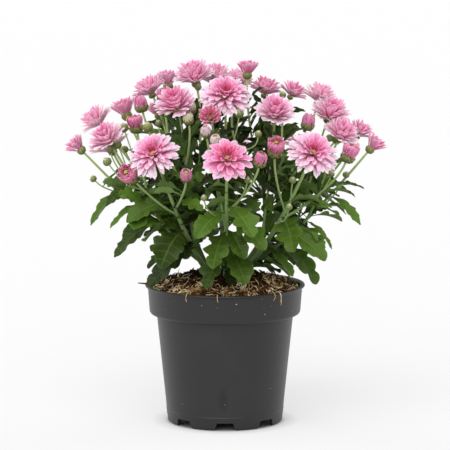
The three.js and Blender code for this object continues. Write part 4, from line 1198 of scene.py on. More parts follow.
# %% [markdown]
# ## Leaf outlines
# A chrysanthemum's leaf has a wedge-shaped base on a short stalk, two or three rounded lobes
# either side and a broad lobe at the end. The outline of one side is a chain of a few points,
# [share of the length, half width], whose corners are cut off to round them, twice on a large
# leaf and once on a small one. Leaves low on the plant are lobed, LOBED or BROAD, those further up
# or far out are narrower, CUT, and those near the heads are small and plain, NARROW.

# %% Leaf outlines
LOBED = [
    (0.0, 0.02), (0.16, 0.025), (0.27, 0.06), (0.37, 0.14), (0.45, 0.225), (0.51, 0.255), (0.55, 0.235),
    (0.572, 0.17), (0.588, 0.13), (0.61, 0.17), (0.66, 0.25), (0.725, 0.275), (0.785, 0.25), (0.808, 0.18),
    (0.825, 0.135), (0.85, 0.15), (0.9, 0.165), (0.955, 0.12), (1.0, 0.03),
]
BROAD = [
    (0.0, 0.02), (0.14, 0.025), (0.24, 0.06), (0.33, 0.13), (0.42, 0.205), (0.48, 0.24), (0.525, 0.225),
    (0.548, 0.195), (0.58, 0.235), (0.64, 0.275), (0.69, 0.262), (0.718, 0.215), (0.75, 0.235),
    (0.81, 0.245), (0.86, 0.215), (0.885, 0.165), (0.92, 0.155), (0.96, 0.115), (1.0, 0.03),
]
CUT = [
    (0.0, 0.025), (0.15, 0.03), (0.28, 0.075), (0.4, 0.135), (0.5, 0.18), (0.545, 0.185), (0.568, 0.15),
    (0.6, 0.16), (0.66, 0.2), (0.705, 0.19), (0.725, 0.145), (0.76, 0.145), (0.81, 0.16), (0.85, 0.145),
    (0.87, 0.105), (0.92, 0.095), (1.0, 0.02),
]
NARROW = [(0.0, 0.03), (0.12, 0.06), (0.28, 0.14), (0.48, 0.18), (0.68, 0.15), (0.86, 0.08), (1.0, 0.01)]
EDGE_SWAY = 0.006
LOBE_SWAY = 0.07
Fineness = namedtuple("Fineness", "rounds columns")
LARGE_LEAF = Fineness(rounds=2, columns=3)
SMALL_LEAF = Fineness(rounds=1, columns=2)


def cut_corners(points, times):
    """Rounds a chain of points: each corner gives way to two points, a quarter along its sides."""
    for _ in range(times):
        near = points[:-1] * 0.75 + points[1:] * 0.25
        far = points[:-1] * 0.25 + points[1:] * 0.75
        middle = np.stack([near, far], 1).reshape(-1, points.shape[1])
        points = np.concatenate([points[:1], middle, points[-1:]])
    return points


def leaf_edge(outline, draw, rounds):
    """One side's outline with lobes a little unlike those of the next leaf."""
    chain = np.array(outline)
    chain[1:-1, 0] += draw.normal(0, EDGE_SWAY, len(chain) - 2)
    chain[1:-1, 1] *= 1 + draw.normal(0, LOBE_SWAY, len(chain) - 2)
    return cut_corners(chain, rounds)


print("points along one side of a lobed leaf:", len(cut_corners(np.array(LOBED), LARGE_LEAF.rounds)))

# %% [markdown]
# ## One leaf
# The rows of the blade's grid run slantwise from the midrib out to that outline, forward, as the
# side veins do, so a vein is simply a line that follows a row. The midrib arches, the halves fold
# up from it a little, and the rim waves. Drawing one leaf flat and bending copies of it would
# give the same form, but here each leaf gets its own lobes, tilt, roll and shade of green.

# %% A flat leaf
ROW_SLANT = 0.5
SLANTED_SHARE = 0.82


def midrib_shares(edge):
    """Where on the midrib each row starts, so that rows slant forward and never cross."""
    slanted = np.maximum.accumulate(edge[:, 0] - ROW_SLANT * edge[:, 1])
    slanted = np.clip(slanted, 0, None) / slanted[-1]
    even = np.linspace(0, 1, len(edge))
    return SLANTED_SHARE * slanted + (1 - SLANTED_SHARE) * even


def flat_leaf(outline, draw, fineness):
    """A flat leaf's grid: places along, places out to the side, rows and columns."""
    halves = []
    out = np.linspace(0, 1, fineness.columns + 1)[None, :]
    for side in (-1, 1):
        edge = leaf_edge(outline, draw, fineness.rounds)
        inner = midrib_shares(edge)[:, None]
        along = inner + (edge[:, :1] - inner) * out
        values = (along, side * edge[:, 1:] * out, inner, side * out)
        halves.append([np.broadcast_to(value, along.shape) for value in values])
    return [np.concatenate([left[:, :0:-1], right], 1) for left, right in zip(*halves)]


print("points across a large leaf:", 2 * LARGE_LEAF.columns + 1)

# %% A leaf in its place
LEAF_ARCH = 0.12
LEAF_FOLD = 0.34
FOLD_SHAPE = (1.25, 1.2)
WAVE_HEIGHT = 0.03
WAVE_PITCH = 17
WAVE_FROM = 0.05
LEAF_THICKNESS = 0.35
CROWN_RADIUS = 75.0
# Painted shade: leaves near the plant's axis are drawn darker, as the crown shades them.
INNER_PAINTED_SHADE = 0.75


def midrib(start, tip):
    """The controls of a leaf's arched middle line, and its length."""
    length = np.linalg.norm(tip - start)
    return [start, (start + tip) / 2 + UP * 2 * LEAF_ARCH * length, tip], length


def leaf_grid(start, tip, outline, wide, roll, draw, fineness):
    """The grid of one leaf, its rows' places on the midrib and its columns' places across."""
    controls, length = midrib(start, tip)
    level = unit(np.cross(tip - start, UP))
    shares, out, inner, across = flat_leaf(outline, draw, fineness)
    tangent = bezier_direction(controls, shares[..., None])
    turn = math.radians(roll)
    side = level * math.cos(turn) + np.cross(tangent, level) * math.sin(turn)
    face = unit(np.cross(side, tangent))
    size = length * wide
    steep, flatter = FOLD_SHAPE
    fold = np.abs(out) * LEAF_FOLD * (steep - flatter * np.abs(out))
    phase = draw.uniform(0, FULL_TURN)
    ripple = np.sin(shares * WAVE_PITCH + phase + np.sign(across))
    wave = WAVE_HEIGHT * np.abs(across) ** 2 * ripple * (np.abs(out) > WAVE_FROM)
    place = bezier(controls, shares[..., None]) + side * (out * size)[..., None]
    place = place + face * ((fold + wave) * size)[..., None]
    return place[None, :, ::-1], inner[None, :, ::-1], across[None, :, ::-1]


def leaf_tone_and_painted_shade(start, tip, draw):
    """A leaf's own random shade of green, less a painted shade that darkens leaves deep inside the plant,
    where the crown shades them.
    """
    x, y, _ = (start + tip) / 2
    inside = 1 - min(math.hypot(x, y) / CROWN_RADIUS, 1)
    return draw.uniform(0, 1) - INNER_PAINTED_SHADE * inside


def add_leaf(shape, start, tip, outline, wide, roll, draw, fineness, finishes):
    grid, rows, across = leaf_grid(start, tip, outline, wide, roll, draw, fineness)
    points, faces, spread = shell(grid, LEAF_THICKNESS)
    tone = leaf_tone_and_painted_shade(start, tip, draw)
    shape.add(points, faces, finishes, row=spread(rows), across=spread(across), tone=tone)


print("a leaf is", LEAF_THICKNESS, "mm thick")

# %% [markdown]
# ## Where the large leaves grow
# The large leaves have their own places in the layout. Each starts on its stalk at the lowest
# point from which it reaches its tip. Every other one is LOBED and the rest are BROAD, apart from
# those far out to the sides, which are CUT: leaves in full light are often narrower.

# %% Large leaves
PLACED_LENGTH = 0.76
PLACED_WIDTH = 0.8
PLACED_ROLL = 1.1
CUT_BEYOND = 77.0
STALK_PLACES = 200


def placed_leaves(stem, curves):
    """The layout's own leaves: (start, tip, outline, width, roll) of each."""
    found = []
    for serial, leaf in enumerate(stem.leaves):
        tip = np.array(leaf.tip, float)
        places = bezier(curves[leaf.on], np.linspace(0, 1, STALK_PLACES)[:, None])
        apart = np.linalg.norm(places - tip, axis=1)
        near = np.flatnonzero(apart <= leaf.long * PLACED_LENGTH)
        start = places[near[0] if len(near) else apart.argmin()]
        inner = (LOBED, BROAD)[serial % 2]
        outline = CUT if abs(leaf.tip[0]) > CUT_BEYOND else inner
        found.append((start, tip, outline, leaf.wide * PLACED_WIDTH, leaf.roll * PLACED_ROLL))
    return found


print("large leaves:", sum(len(stem.leaves) for stem in STEMS))

# %% [markdown]
# ## Where the other leaves grow
# The rest follow a rule: one every few millimetres up each stalk, turning on by the golden angle,
# shorter and steeper the higher they grow. Many are left out low down, and the outer half of the
# stalks to the far sides stays bare, so that their heads stand free. A leaf that would leave its
# stem's wedge, run through a head, hang in front of one or lie in the soil tries the next turn,
# and is left out after a few tries. None grows forward from the front stalks, or it would hide
# them.

# %% Room for a leaf
SIDE_GAP = 0.2
HEAD_GAP = 0.5
SOIL_GAP = 2.0
RIM_RADIUS = 62.0
SHOWN_FROM_FRONT = 25.0  # leaves may hang in front of the heads that stand further back than this
PROBES = np.array([0.4, 0.6, 0.8, 1.0])
SIDE_PROBES = 3
PROBE_WIDTH = 0.28
HEAD_CENTRES = np.array([head.at for head in ALL_HEADS], float)
HEAD_REACH = np.array([head.size / 2 + HEAD_GAP for head in ALL_HEADS])


def leaf_probes(start, tip, wide):
    """A few places on a leaf: its midrib, and both sides where it is widest."""
    controls, length = midrib(start, tip)
    ribs = bezier(controls, PROBES[:, None])
    level = unit(np.cross(tip - start, UP)) * length * wide * PROBE_WIDTH
    beside = ribs[:SIDE_PROBES]
    return np.concatenate([ribs, beside + level, beside - level])


def leaf_is_clear(places, stem):
    """Whether places keep to the stem's wedge, off the soil and the heads, and hide no head."""
    start, end = (math.radians(bearing) for bearing in stem.wedge)
    after = places[:, 1] * math.cos(start) - places[:, 0] * math.sin(start)
    before = places[:, 0] * math.sin(end) - places[:, 1] * math.cos(end)
    if min(after.min(), before.min()) < SIDE_GAP:
        return False
    radius = np.hypot(places[:, 0], places[:, 1])
    if ((places[:, 2] < soil_height(radius) + SOIL_GAP) & (radius < RIM_RADIUS)).any():
        return False
    apart = places[:, None] - HEAD_CENTRES[None]
    if (np.linalg.norm(apart, axis=2) < HEAD_REACH).any():
        return False
    in_front = (np.hypot(apart[..., 0], apart[..., 2]) < HEAD_REACH) & (apart[..., 1] < 0)
    return not (in_front & (HEAD_CENTRES[:, 1] < SHOWN_FROM_FRONT)).any()


print("places tested on each leaf:", len(PROBES) + 2 * SIDE_PROBES)

# %% One ruled leaf
LOBED_BELOW = 165.0
CUT_BELOW = 204.0
LOW_LENGTH = 31.0
HIGH_LENGTH = 24.0
LENGTHS = (0.8, 1.15)
END_SHRINK = 0.5
LOW_RISE = -12.0
HIGH_RISE = 45.0
RISE_SWAY = 22.0
ROLL_SWAY = 50.0
LOBED_SHARE = 0.7


def leaf_on(start, share, height, draw):
    """The length, rise, outline and roll of a leaf at a share of its stalk and of the crown's height."""
    length = (LOW_LENGTH + (HIGH_LENGTH - LOW_LENGTH) * height) * draw.uniform(*LENGTHS)
    length *= 1 - END_SHRINK * share**3
    rise = math.radians(LOW_RISE + (HIGH_RISE - LOW_RISE) * height + draw.normal(0, RISE_SWAY))
    lobed = LOBED if draw.uniform() < LOBED_SHARE else BROAD
    outline = lobed if start[2] < LOBED_BELOW else CUT if start[2] < CUT_BELOW else NARROW
    return length, rise, outline, draw.uniform(-ROLL_SWAY, ROLL_SWAY)


print("ruled leaves are up to", round(LOW_LENGTH * max(LENGTHS)), "mm long")

# %% Ruled leaves
LEAF_SPACING = 3.5
LOWEST = 110.0
HIGHEST = 238.0
LOW_GAPS = 0.56
HIGH_GAPS = 0.08
OUTLYING = 55.0
BARE_FROM = 0.5
RULED_WIDTH = 1.0
TRIES = 13
STALKS_IN_FRONT = -30.0
FORWARD = -0.3


def ruled_leaves(stem, curves, draw):
    """The leaves of the rule: (start, tip, outline, width, roll) of each."""
    found = []
    serial = 0
    for head in stem.heads:
        if head.kind == "green":
            continue
        count = int(curve_length(curves[head.name]) / LEAF_SPACING)
        for k in range(1, count):
            serial += 1
            start = bezier(curves[head.name], k / count)
            height = (start[2] - LOWEST) / (HIGHEST - LOWEST)
            gaps = LOW_GAPS if start[2] < LOBED_BELOW else HIGH_GAPS
            if abs(head.at[0]) > OUTLYING and k / count > BARE_FROM:
                continue
            if not 0 <= height <= 1 or draw.uniform() < gaps:
                continue
            length, rise, outline, roll = leaf_on(start, k / count, height, draw)
            for attempt in range(TRIES):
                out = around((serial + attempt) * GOLDEN_ANGLE)[0]
                tip = start + length * (out * math.cos(rise) + UP * math.sin(rise))
                hides_stalk = start[1] < STALKS_IN_FRONT and out[1] < FORWARD
                if not hides_stalk and leaf_is_clear(leaf_probes(start, tip, RULED_WIDTH), stem):
                    found.append((start, tip, outline, RULED_WIDTH, roll))
                    break
    return found


print("a leaf every", LEAF_SPACING, "mm of stalk")

# %% [markdown]
# ## The leaves' material
# The upper side is a deep, slightly greyish green with a soft wax sheen, mottled where the blade
# puckers between its veins. The underside is paler, greyer and matt with down. The veins are
# drawn from the grid: the midrib where `across` is nought, and side veins that follow the rows.
# A side vein is a third of a millimetre wide on a real leaf. It is drawn a little wider, so that
# it shows.

# %% Leaf material
TONE_SCALE = 0.66
PUCKERS = 160.0  # a metre, so each pucker is about 6 mm wide
PUCKER_TINT = 0.5
PUCKER_RELIEF = 1.2
VEIN_RELIEF = 0.4
MIDRIB_FADE = (0.03, 0.1)  # from and to, in half widths of the leaf
SIDE_VEINS = 7.0
SIDE_VEIN_FADE = (0.02, 0.09)  # from and to, in spaces between side veins
SIDE_VEIN_STRENGTH = 0.6


def leaf_material(name, stops, vein_colour, roughness, vein_strength):
    material, shader = new_material(
        name, Roughness=roughness, IOR=1.42, Specular_IOR_Level=0.24,
        Subsurface_Weight=0.12, Subsurface_Scale=1 * MM, Subsurface_Radius=(0.5, 1.0, 0.2),
    )
    across, row, tone = (
        node(material, "Attribute", attribute_name=key).outputs["Fac"] for key in ("across", "row", "tone")
    )
    place = node(material, "TexCoord").outputs["Object"]
    mottle = node(
        material, "TexNoise", {"Vector": place, "Scale": PUCKERS, "Detail": 4.0, "Roughness": 0.6}
    ).outputs["Fac"]
    mixed = node(material, "Math", {0: mottle, 1: PUCKER_TINT, 2: tone}, operation="MULTIPLY_ADD")
    shade = node(material, "Math", {0: mixed.outputs[0], 1: TONE_SCALE}, operation="MULTIPLY")
    green = node(material, "ValToRGB", {"Fac": shade.outputs[0]}, stops=stops)
    distance = node(material, "Math", {0: across}, operation="ABSOLUTE")
    whole, gone = MIDRIB_FADE
    middle_vein = node(
        material, "MapRange",
        {"Value": distance.outputs[0], "From Min": whole, "From Max": gone, "To Min": 1.0, "To Max": 0.0},
    )
    repeat = node(material, "Math", {0: row, 1: SIDE_VEINS}, operation="MULTIPLY")
    nearest = node(material, "Math", {0: repeat.outputs[0], 1: 0.5}, operation="PINGPONG")
    whole, gone = SIDE_VEIN_FADE
    side_vein = node(
        material, "MapRange",
        {
            "Value": nearest.outputs[0], "From Min": whole, "From Max": gone,
            "To Min": SIDE_VEIN_STRENGTH, "To Max": 0.0,
        },
    )
    veins = node(
        material, "Math", {0: middle_vein.outputs[0], 1: side_vein.outputs[0]}, operation="MAXIMUM"
    )
    strength = node(material, "Math", {0: veins.outputs[0], 1: vein_strength}, operation="MULTIPLY")
    colour = node(
        material, "Mix",
        {0: strength.outputs[0], 6: green.outputs["Color"], 7: linear(vein_colour)}, data_type="RGBA",
    )
    connect(material, colour.outputs[2], shader.inputs["Base Color"])
    relief = node(
        material, "Math", {0: mottle, 1: PUCKER_RELIEF, 2: veins.outputs[0]}, operation="MULTIPLY_ADD"
    )
    bump = node(
        material, "Bump",
        {"Height": relief.outputs[0], "Strength": 0.5, "Distance": VEIN_RELIEF * MM}, invert=True,
    )
    connect(material, bump.outputs["Normal"], shader.inputs["Normal"])
    return material


print("side veins in each half of a leaf:", SIDE_VEINS)

# %% Leaf skins
LEAF_UPPER = leaf_material(
    "leaf_upper_waxy_skin",
    [(0.0, "#161f06"), (0.25, "#293a0c"), (0.55, "#425d17"), (0.9, "#597b2a")],
    "#86a355", roughness=0.46, vein_strength=0.17,
)
LEAF_UNDER = leaf_material(
    "leaf_under_downy_skin",
    [(0.1, "#3f5626"), (0.5, "#546c33"), (0.95, "#6e8547")],
    "#7f955a", roughness=0.75, vein_strength=0.35,
)
print("leaf materials:", LEAF_UPPER.name, LEAF_UNDER.name)

# %% [markdown]
# ## The leafy stems
# A stem is one living thing, so its stalks, calyxes, green buds and leaves become one piece, which
# takes the place of one CAD node. One object for each leaf would say the same with hundreds of
# names. Each stem has its own seed.

# %% Leafy stems
STEM_SEED = 100
STEM_FINISHES = [STALK_SKIN, CALYX_SKIN, LEAF_UPPER, LEAF_UNDER, PETAL_UPPER, PETAL_UNDER]
STEM_STALK, STEM_CALYX, STEM_LEAF, STEM_PETAL = 0, 1, [2, 3], [4, 5]
for serial, stem in enumerate(STEMS):
    draw = np.random.default_rng(STEM_SEED + serial)
    shape = Shape()
    curves = stalk_curves(stem)
    for head in stem.heads:
        add_stalk(shape, stem, head, curves[head.name], STEM_STALK)
        add_calyx(shape, head, draw, STEM_CALYX)
        if head.kind == "green":
            add_petals(shape, head, draw, STEM_PETAL)
    large = placed_leaves(stem, curves)
    for leaf in large:
        add_leaf(shape, *leaf, draw, LARGE_LEAF, STEM_LEAF)
    small = ruled_leaves(stem, curves, draw)
    for leaf in small:
        add_leaf(shape, *leaf, draw, SMALL_LEAF, STEM_LEAF)
    leafy = shape.piece(f"dressed_{stem.node}", STEM_FINISHES, "foliage", stem.node)
    print(stem.node, "leaves:", len(large) + len(small), "triangles:", triangles_of(leafy))

# %% [markdown]
# ## The pot's outline
# A grower's pot is injection-moulded in one shot from black recycled polypropylene. Its wall is a
# little over a millimetre thick, with a collar for stacking, a small lip and a foot ring. A body
# that is round about one axis needs only its outline: a chain of corners, each (radius, height,
# rounding), turned about that axis. Low on the pot the two halves of the mould leave a fine ring.

# %% Pot outline
POT_OUTLINE = [
    (41.0, 6.6, 0.0), (41.0, 0.0, 0.5), (43.5, 0.0, 2.4), (44.5, 15.0, 5.0), (51.4, 82.0, 0.8),
    (56.6, 82.0, 2.8), (58.0, 102.0, 1.2), (60.0, 102.8, 0.5), (60.0, 104.0, 0.5), (56.7, 104.0, 0.9),
    (55.2, 84.6, 0.8), (50.1, 83.3, 0.8), (41.7, 8.2, 0.0),
]
POT_SIDES = 192
MOULD_RING_HEIGHT = 9.6
MOULD_RING = 0.16
MOULD_RING_STEPS = np.array([-0.5, -0.2, 0.2, 0.5])
MOULD_RING_PROUD = np.array([0, 1, 1, 0])
FIRST_SIDE = np.array([0, 1.0, 0])


def rounded(outline, steps=5):
    """A chain of corners (radius, height, rounding), with each corner replaced by a short curve."""
    corners = np.array(outline)
    points = [corners[0, :2]]
    for before, corner, after in zip(corners, corners[1:], corners[2:]):
        place = corner[:2]
        start = place + unit(before[:2] - place) * corner[2]
        end = place + unit(after[:2] - place) * corner[2]
        points.extend(bezier([start, place, end], np.linspace(0, 1, steps)[:, None]))
    return np.array([*points, corners[-1, :2]])


def mould_ring(outline):
    """Adds the fine raised ring that the split of the mould leaves low on the pot."""
    after = np.argmax(outline[:, 1] > MOULD_RING_HEIGHT)
    heights = MOULD_RING_HEIGHT + MOULD_RING_STEPS
    low, high = outline[after - 1], outline[after]
    radii = np.interp(heights, [low[1], high[1]], [low[0], high[0]])
    ring = np.stack([radii + MOULD_RING * MOULD_RING_PROUD, heights], -1)
    return np.concatenate([outline[:after], ring, outline[after:]])


def turned(outline, sides):
    """Points and faces of an outline turned about the pot's axis, with flat ends."""
    return tube(outline[:, 1:] * UP, UP, outline[:, 0], FIRST_SIDE, sides)


print("points of the pot's rounded outline:", len(rounded(POT_OUTLINE)))

# %% [markdown]
# ## Notches and drain holes
# Eight notches in the foot ring let water run out from under the pot, and eight holes in its
# floor let it out of the soil. They aren't round about the axis, so they can't be in the outline.
# Blocks of their shape are cut out of the pot with a Boolean modifier, whose result then becomes
# the pot's mesh.

# %% Notches and drain holes
OPENING_COUNT = 8  # as many notches as drain holes
NOTCH_OUTLINE = [(-8.4, -1.0), (8.4, -1.0), (6.0, 6.0), (-6.0, 6.0)]
NOTCH_REACH = (38.0, 48.0)
DRAIN_OUTLINE = [(-3.5, 4.1), (3.5, 4.1), (3.5, 12.3), (-3.5, 12.3)]
DRAIN_REACH = (33.5, 39.0)


def cutters(name, outline, reach):
    """Blocks of one outline set round the axis, each reaching from one radius to another. A block
    has eight corners: the outline's four at its inner end, then the same four at its outer end."""
    points = []
    faces = []
    for k in range(OPENING_COUNT):
        out, side = around(-math.pi / 2 + k * FULL_TURN / OPENING_COUNT)
        first = len(points)
        points += [(out * r + side * x + UP * z) * MM for r in reach for x, z in outline]
        faces += [[first + 3, first + 2, first + 1, first], [first + 4, first + 5, first + 6, first + 7]]
        faces += [[first + i, first + (i + 1) % 4, first + 4 + (i + 1) % 4, first + 4 + i] for i in range(4)]
    mesh = bpy.data.meshes.new(name)
    mesh.from_pydata(points, [], faces)
    cutter = bpy.data.objects.new(name, mesh)
    bpy.context.scene.collection.objects.link(cutter)
    return cutter


def cut_away(made, tools):
    for tool in tools:
        modifier = made.modifiers.new(tool.name, "BOOLEAN")
        modifier.object = tool
        modifier.solver = "MANIFOLD"
    evaluated = made.evaluated_get(bpy.context.evaluated_depsgraph_get())
    carved = bpy.data.meshes.new_from_object(evaluated)
    made.modifiers.clear()
    made.data = carved
    for tool in tools:
        bpy.data.objects.remove(tool)


print("notches and drain holes:", OPENING_COUNT, "each")

# %% [markdown]
# ## The pot's material
# Moulded polypropylene, coloured with carbon black, comes out of a lightly blasted steel mould
# with a satin skin: dark, with broad soft reflections that grow toward the edges of the form.
# Handling and watering leave a thin dusty film in soft clouds, which makes it a little browner and duller
# there. One spot low on the front is smoother, and its colour is darkened there as a painted dark reflection.
# A smooth fall-off from a point draws that spot.

# %% Satin polypropylene
DUST_CLOUDS = 28.0  # a metre, so each cloud is about 36 mm wide
POLYPROPYLENE, pot_shader = new_material("satin_moulded_black_polypropylene", IOR=1.49)
pot_place = node(POLYPROPYLENE, "TexCoord").outputs["Object"]
pot_cloud = node(
    POLYPROPYLENE, "TexNoise",
    {"Vector": pot_place, "Scale": DUST_CLOUDS, "Detail": 5.0, "Roughness": 0.6},
).outputs["Fac"]
pot_colour = node(
    POLYPROPYLENE, "ValToRGB", {"Fac": pot_cloud},
    stops=[(0.3, "#141414"), (0.55, "#171717"), (0.75, "#1e1d1c")],
)
pot_gloss = node(POLYPROPYLENE, "MapRange", {"Value": pot_cloud, "To Min": 0.34, "To Max": 0.5})

# The blasted skin's grain is about 0.1 mm. It is drawn at about 0.5 mm, so that it shows at all.
GRAINS = 2000.0  # a metre
pot_grain = node(POLYPROPYLENE, "TexNoise", {"Vector": pot_place, "Scale": GRAINS, "Detail": 2.0})
pot_bump = node(
    POLYPROPYLENE, "Bump", {"Height": pot_grain.outputs["Fac"], "Strength": 0.12, "Distance": 0.1 * MM}
)
connect(POLYPROPYLENE, pot_bump.outputs["Normal"], pot_shader.inputs["Normal"])
print("made", POLYPROPYLENE.name)

# %% Smooth spot with a painted dark reflection
SPOT_PLACE = (-1.5, -45.0, 24.0)
SPOT_REACH = (5.0, 12.0, 12.0)
SPOT_STRENGTH = 0.8
SPOT_CORE = 0.2
SPOT_SMOOTHING = 0.3
spot_offset = node(
    POLYPROPYLENE, "VectorMath", {0: pot_place, 1: [place * MM for place in SPOT_PLACE]}, operation="SUBTRACT"
)
spot_spread = node(
    POLYPROPYLENE, "VectorMath",
    {0: spot_offset.outputs[0], 1: [1 / (reach * MM) for reach in SPOT_REACH]}, operation="MULTIPLY",
)
spot_distance = node(POLYPROPYLENE, "VectorMath", {0: spot_spread.outputs[0]}, operation="LENGTH")
smooth_and_painted_dark = node(
    POLYPROPYLENE, "MapRange",
    {"Value": spot_distance.outputs["Value"], "From Min": SPOT_CORE, "To Min": SPOT_STRENGTH, "To Max": 0.0},
    interpolation_type="SMOOTHSTEP",
).outputs[0]
# Painted reflection: the spot's colour is darkened toward near black, standing for the dark reflection low on
# the front.
pot_painted_dark = node(
    POLYPROPYLENE, "Mix", {0: smooth_and_painted_dark, 6: pot_colour.outputs["Color"], 7: linear("#050505")}, data_type="RGBA"
)
connect(POLYPROPYLENE, pot_painted_dark.outputs[2], pot_shader.inputs["Base Color"])
pot_smoothed = node(
    POLYPROPYLENE, "Math", {0: smooth_and_painted_dark, 1: -SPOT_SMOOTHING, 2: pot_gloss.outputs[0]}, operation="MULTIPLY_ADD"
)
connect(POLYPROPYLENE, pot_smoothed.outputs[0], pot_shader.inputs["Roughness"])
print("rubbed spot", SPOT_PLACE[2], "mm up the pot")

# %% [markdown]
# ## The pot
# The outline is turned about the axis with enough sides that its silhouette looks round, the
# notches and holes are cut away, and the edges are marked sharp at a smaller angle than on the
# plant, because moulded plastic has clean edges where soft tissue has none.

# %% Pot
POT_SHARP_EDGE = math.radians(32)
shape = Shape()
points, faces = turned(mould_ring(rounded(POT_OUTLINE)), POT_SIDES)
shape.add(points, faces, 0)
pot = shape.piece("moulded_pot", [POLYPROPYLENE], "pot", "pot")
cut_away(pot, [
    cutters("foot_notches", NOTCH_OUTLINE, NOTCH_REACH), cutters("drain_holes", DRAIN_OUTLINE, DRAIN_REACH),
])
pot.data.set_sharp_from_angle(angle=POT_SHARP_EDGE)
print("pot triangles:", triangles_of(pot))

# %% [markdown]
# ## The soil's surface
# Growers use peat mixed with coconut fibre, which dries to crumbs and curled pale fibres on top.
# The surface heaps up to the middle of the pot and is rough at three sizes: heaps, clods and
# grit. A Displace modifier with a cloud texture could roughen it, but a sum of waves is a plain
# function of the place, so crumbs and fibres laid on it later can ask for its height too.

# %% Soil surface
SOIL_EDGE = 56.0
LEVEL_REACH = 5.0
BUMPS = [(14.0, 0.8), (4.0, 0.55), (1.6, 0.3)]  # heaps, clods and grit: width and height in mm
WAVES = 16
WAVE_SPANS = (0.8, 2.2)
SOIL_SEED = 7
soil_draw = np.random.default_rng(SOIL_SEED)


def wavy(span):
    """A function that gives a random gentle height at each place, with bumps about span mm wide."""
    turn = soil_draw.uniform(0, FULL_TURN, WAVES)
    pitch = FULL_TURN / (span * soil_draw.uniform(*WAVE_SPANS, WAVES))
    phase = soil_draw.uniform(0, FULL_TURN, WAVES)

    def height(x, y):
        run = np.multiply.outer(x, np.cos(turn)) + np.multiply.outer(y, np.sin(turn))
        return np.sin(run * pitch + phase).sum(-1) / math.sqrt(WAVES)

    return height


SURFACES = [(wavy(span), height) for span, height in BUMPS]


def soil_top(x, y):
    """Height of the rough surface, which levels out at the pot's wall."""
    radius = np.hypot(x, y)
    level = np.clip((SOIL_EDGE - radius) / LEVEL_REACH, 0, 1)
    rough = sum(height * surface(x, y) for surface, height in SURFACES)
    return soil_height(radius) + level * rough


print("soil's top in the middle:", round(float(soil_top(0.0, 0.0)), 1), "mm up")

# %% [markdown]
# ## Peat, fibre and moss
# Damp peat is almost black, and drier crumbs are brown. It has no gloss at all. Fibres run from
# dark brown to straw, one colour to each, and the moss that settles on old soil is olive. All
# three are dull and crumbly to the eye, so one function makes them. It mixes each lump's own
# tone with a noise whose grain is given in millimetres.

# %% Soil materials
GRAIN_TINT = 0.5


def crumbly_material(name, stops, roughness, grain):
    """A dull material whose colour follows each lump's own tone and a noise of this grain in mm."""
    material, shader = new_material(name, Roughness=roughness, Specular_IOR_Level=0.2)
    tone = node(material, "Attribute", attribute_name="tone").outputs["Fac"]
    place = node(material, "TexCoord").outputs["Object"]
    speckle = node(
        material, "TexNoise",
        {"Vector": place, "Scale": 1 / (grain * MM), "Detail": 4.0, "Roughness": 0.7},
    ).outputs["Fac"]
    mixed = node(material, "Math", {0: speckle, 1: GRAIN_TINT, 2: tone}, operation="MULTIPLY_ADD")
    shade = node(material, "Math", {0: mixed.outputs[0], 1: TONE_SCALE}, operation="MULTIPLY")
    colour = node(material, "ValToRGB", {"Fac": shade.outputs[0]}, stops=stops)
    connect(material, colour.outputs["Color"], shader.inputs["Base Color"])
    bump = node(material, "Bump", {"Height": speckle, "Strength": 0.8, "Distance": grain * MM})
    connect(material, bump.outputs["Normal"], shader.inputs["Normal"])
    return material


PEAT = crumbly_material(
    "damp_crumbled_peat", [(0.1, "#0f0804"), (0.4, "#38210f"), (0.7, "#6c4622"), (0.95, "#9c6f3e")],
    roughness=0.95, grain=1.2,
)
FIBRE = crumbly_material(
    "dry_coconut_fibre", [(0.1, "#1e1106"), (0.4, "#6e4820"), (0.65, "#cd9e5b"), (0.9, "#fff0ca")],
    roughness=0.8, grain=2.0,
)
MOSS = crumbly_material(
    "olive_moss", [(0.1, "#33350f"), (0.5, "#5f6420"), (0.95, "#8f8d3a")], roughness=0.9, grain=1.5
)
SOIL_FINISHES = [PEAT, FIBRE, MOSS]
SOIL_PEAT, SOIL_FIBRE, SOIL_MOSS = 0, 1, 2
print("soil materials:", ", ".join(material.name for material in SOIL_FINISHES))

# %% [markdown]
# ## The body of the soil
# The body fills the pot and is one turned solid, like the pot, whose top points are then lifted to the rough
# surface. It is paler toward the rim, where it dries first, and darker toward the middle, where it stays damp
# and where painted shade stands for the shadow of the leaves.

# %% Soil body
SOIL_RINGS = 44
SOIL_SIDES = 160
SOIL_WALL = [(41.5, 8.5), (49.8, 83.6), (54.9, 84.9)]
INNERMOST = 0.8
BODY_TONE = 0.35
DRY_AND_LIT_POWER = 1.5


def dryness_and_light(points):
    """How dry and how lit the soil is, from nought in the middle, damp and in painted shade under the leaves,
    to one at the rim.
    """
    return np.clip(np.hypot(points[..., 0], points[..., 1]) / SOIL_EDGE, 0, 1) ** DRY_AND_LIT_POWER


outward = np.linspace(SOIL_EDGE, INNERMOST, SOIL_RINGS)
top_outline = np.stack([outward, soil_height(outward)], -1)
points, faces = turned(np.concatenate([SOIL_WALL, top_outline]), SOIL_SIDES)
on_top = len(SOIL_WALL) * SOIL_SIDES
points[on_top:, 2] = soil_top(points[on_top:, 0], points[on_top:, 1])
soil_shape = Shape()
# Partly painted shade: the peat darkens toward the middle, under the leaves, as well as being damper there.
soil_shape.add(points, faces, SOIL_PEAT, tone=BODY_TONE * dryness_and_light(points))
print("points of the soil's body:", len(points))

# %% [markdown]
# ## Crumbs and chips
# On the body lie crumbs, clods and flat chips of bark. Each is a coarse ball whose points are
# pulled in and out and stretched, so that it breaks the light like a broken edge. Particles could
# scatter copies, but real mesh lumps keep their place in an exported model.

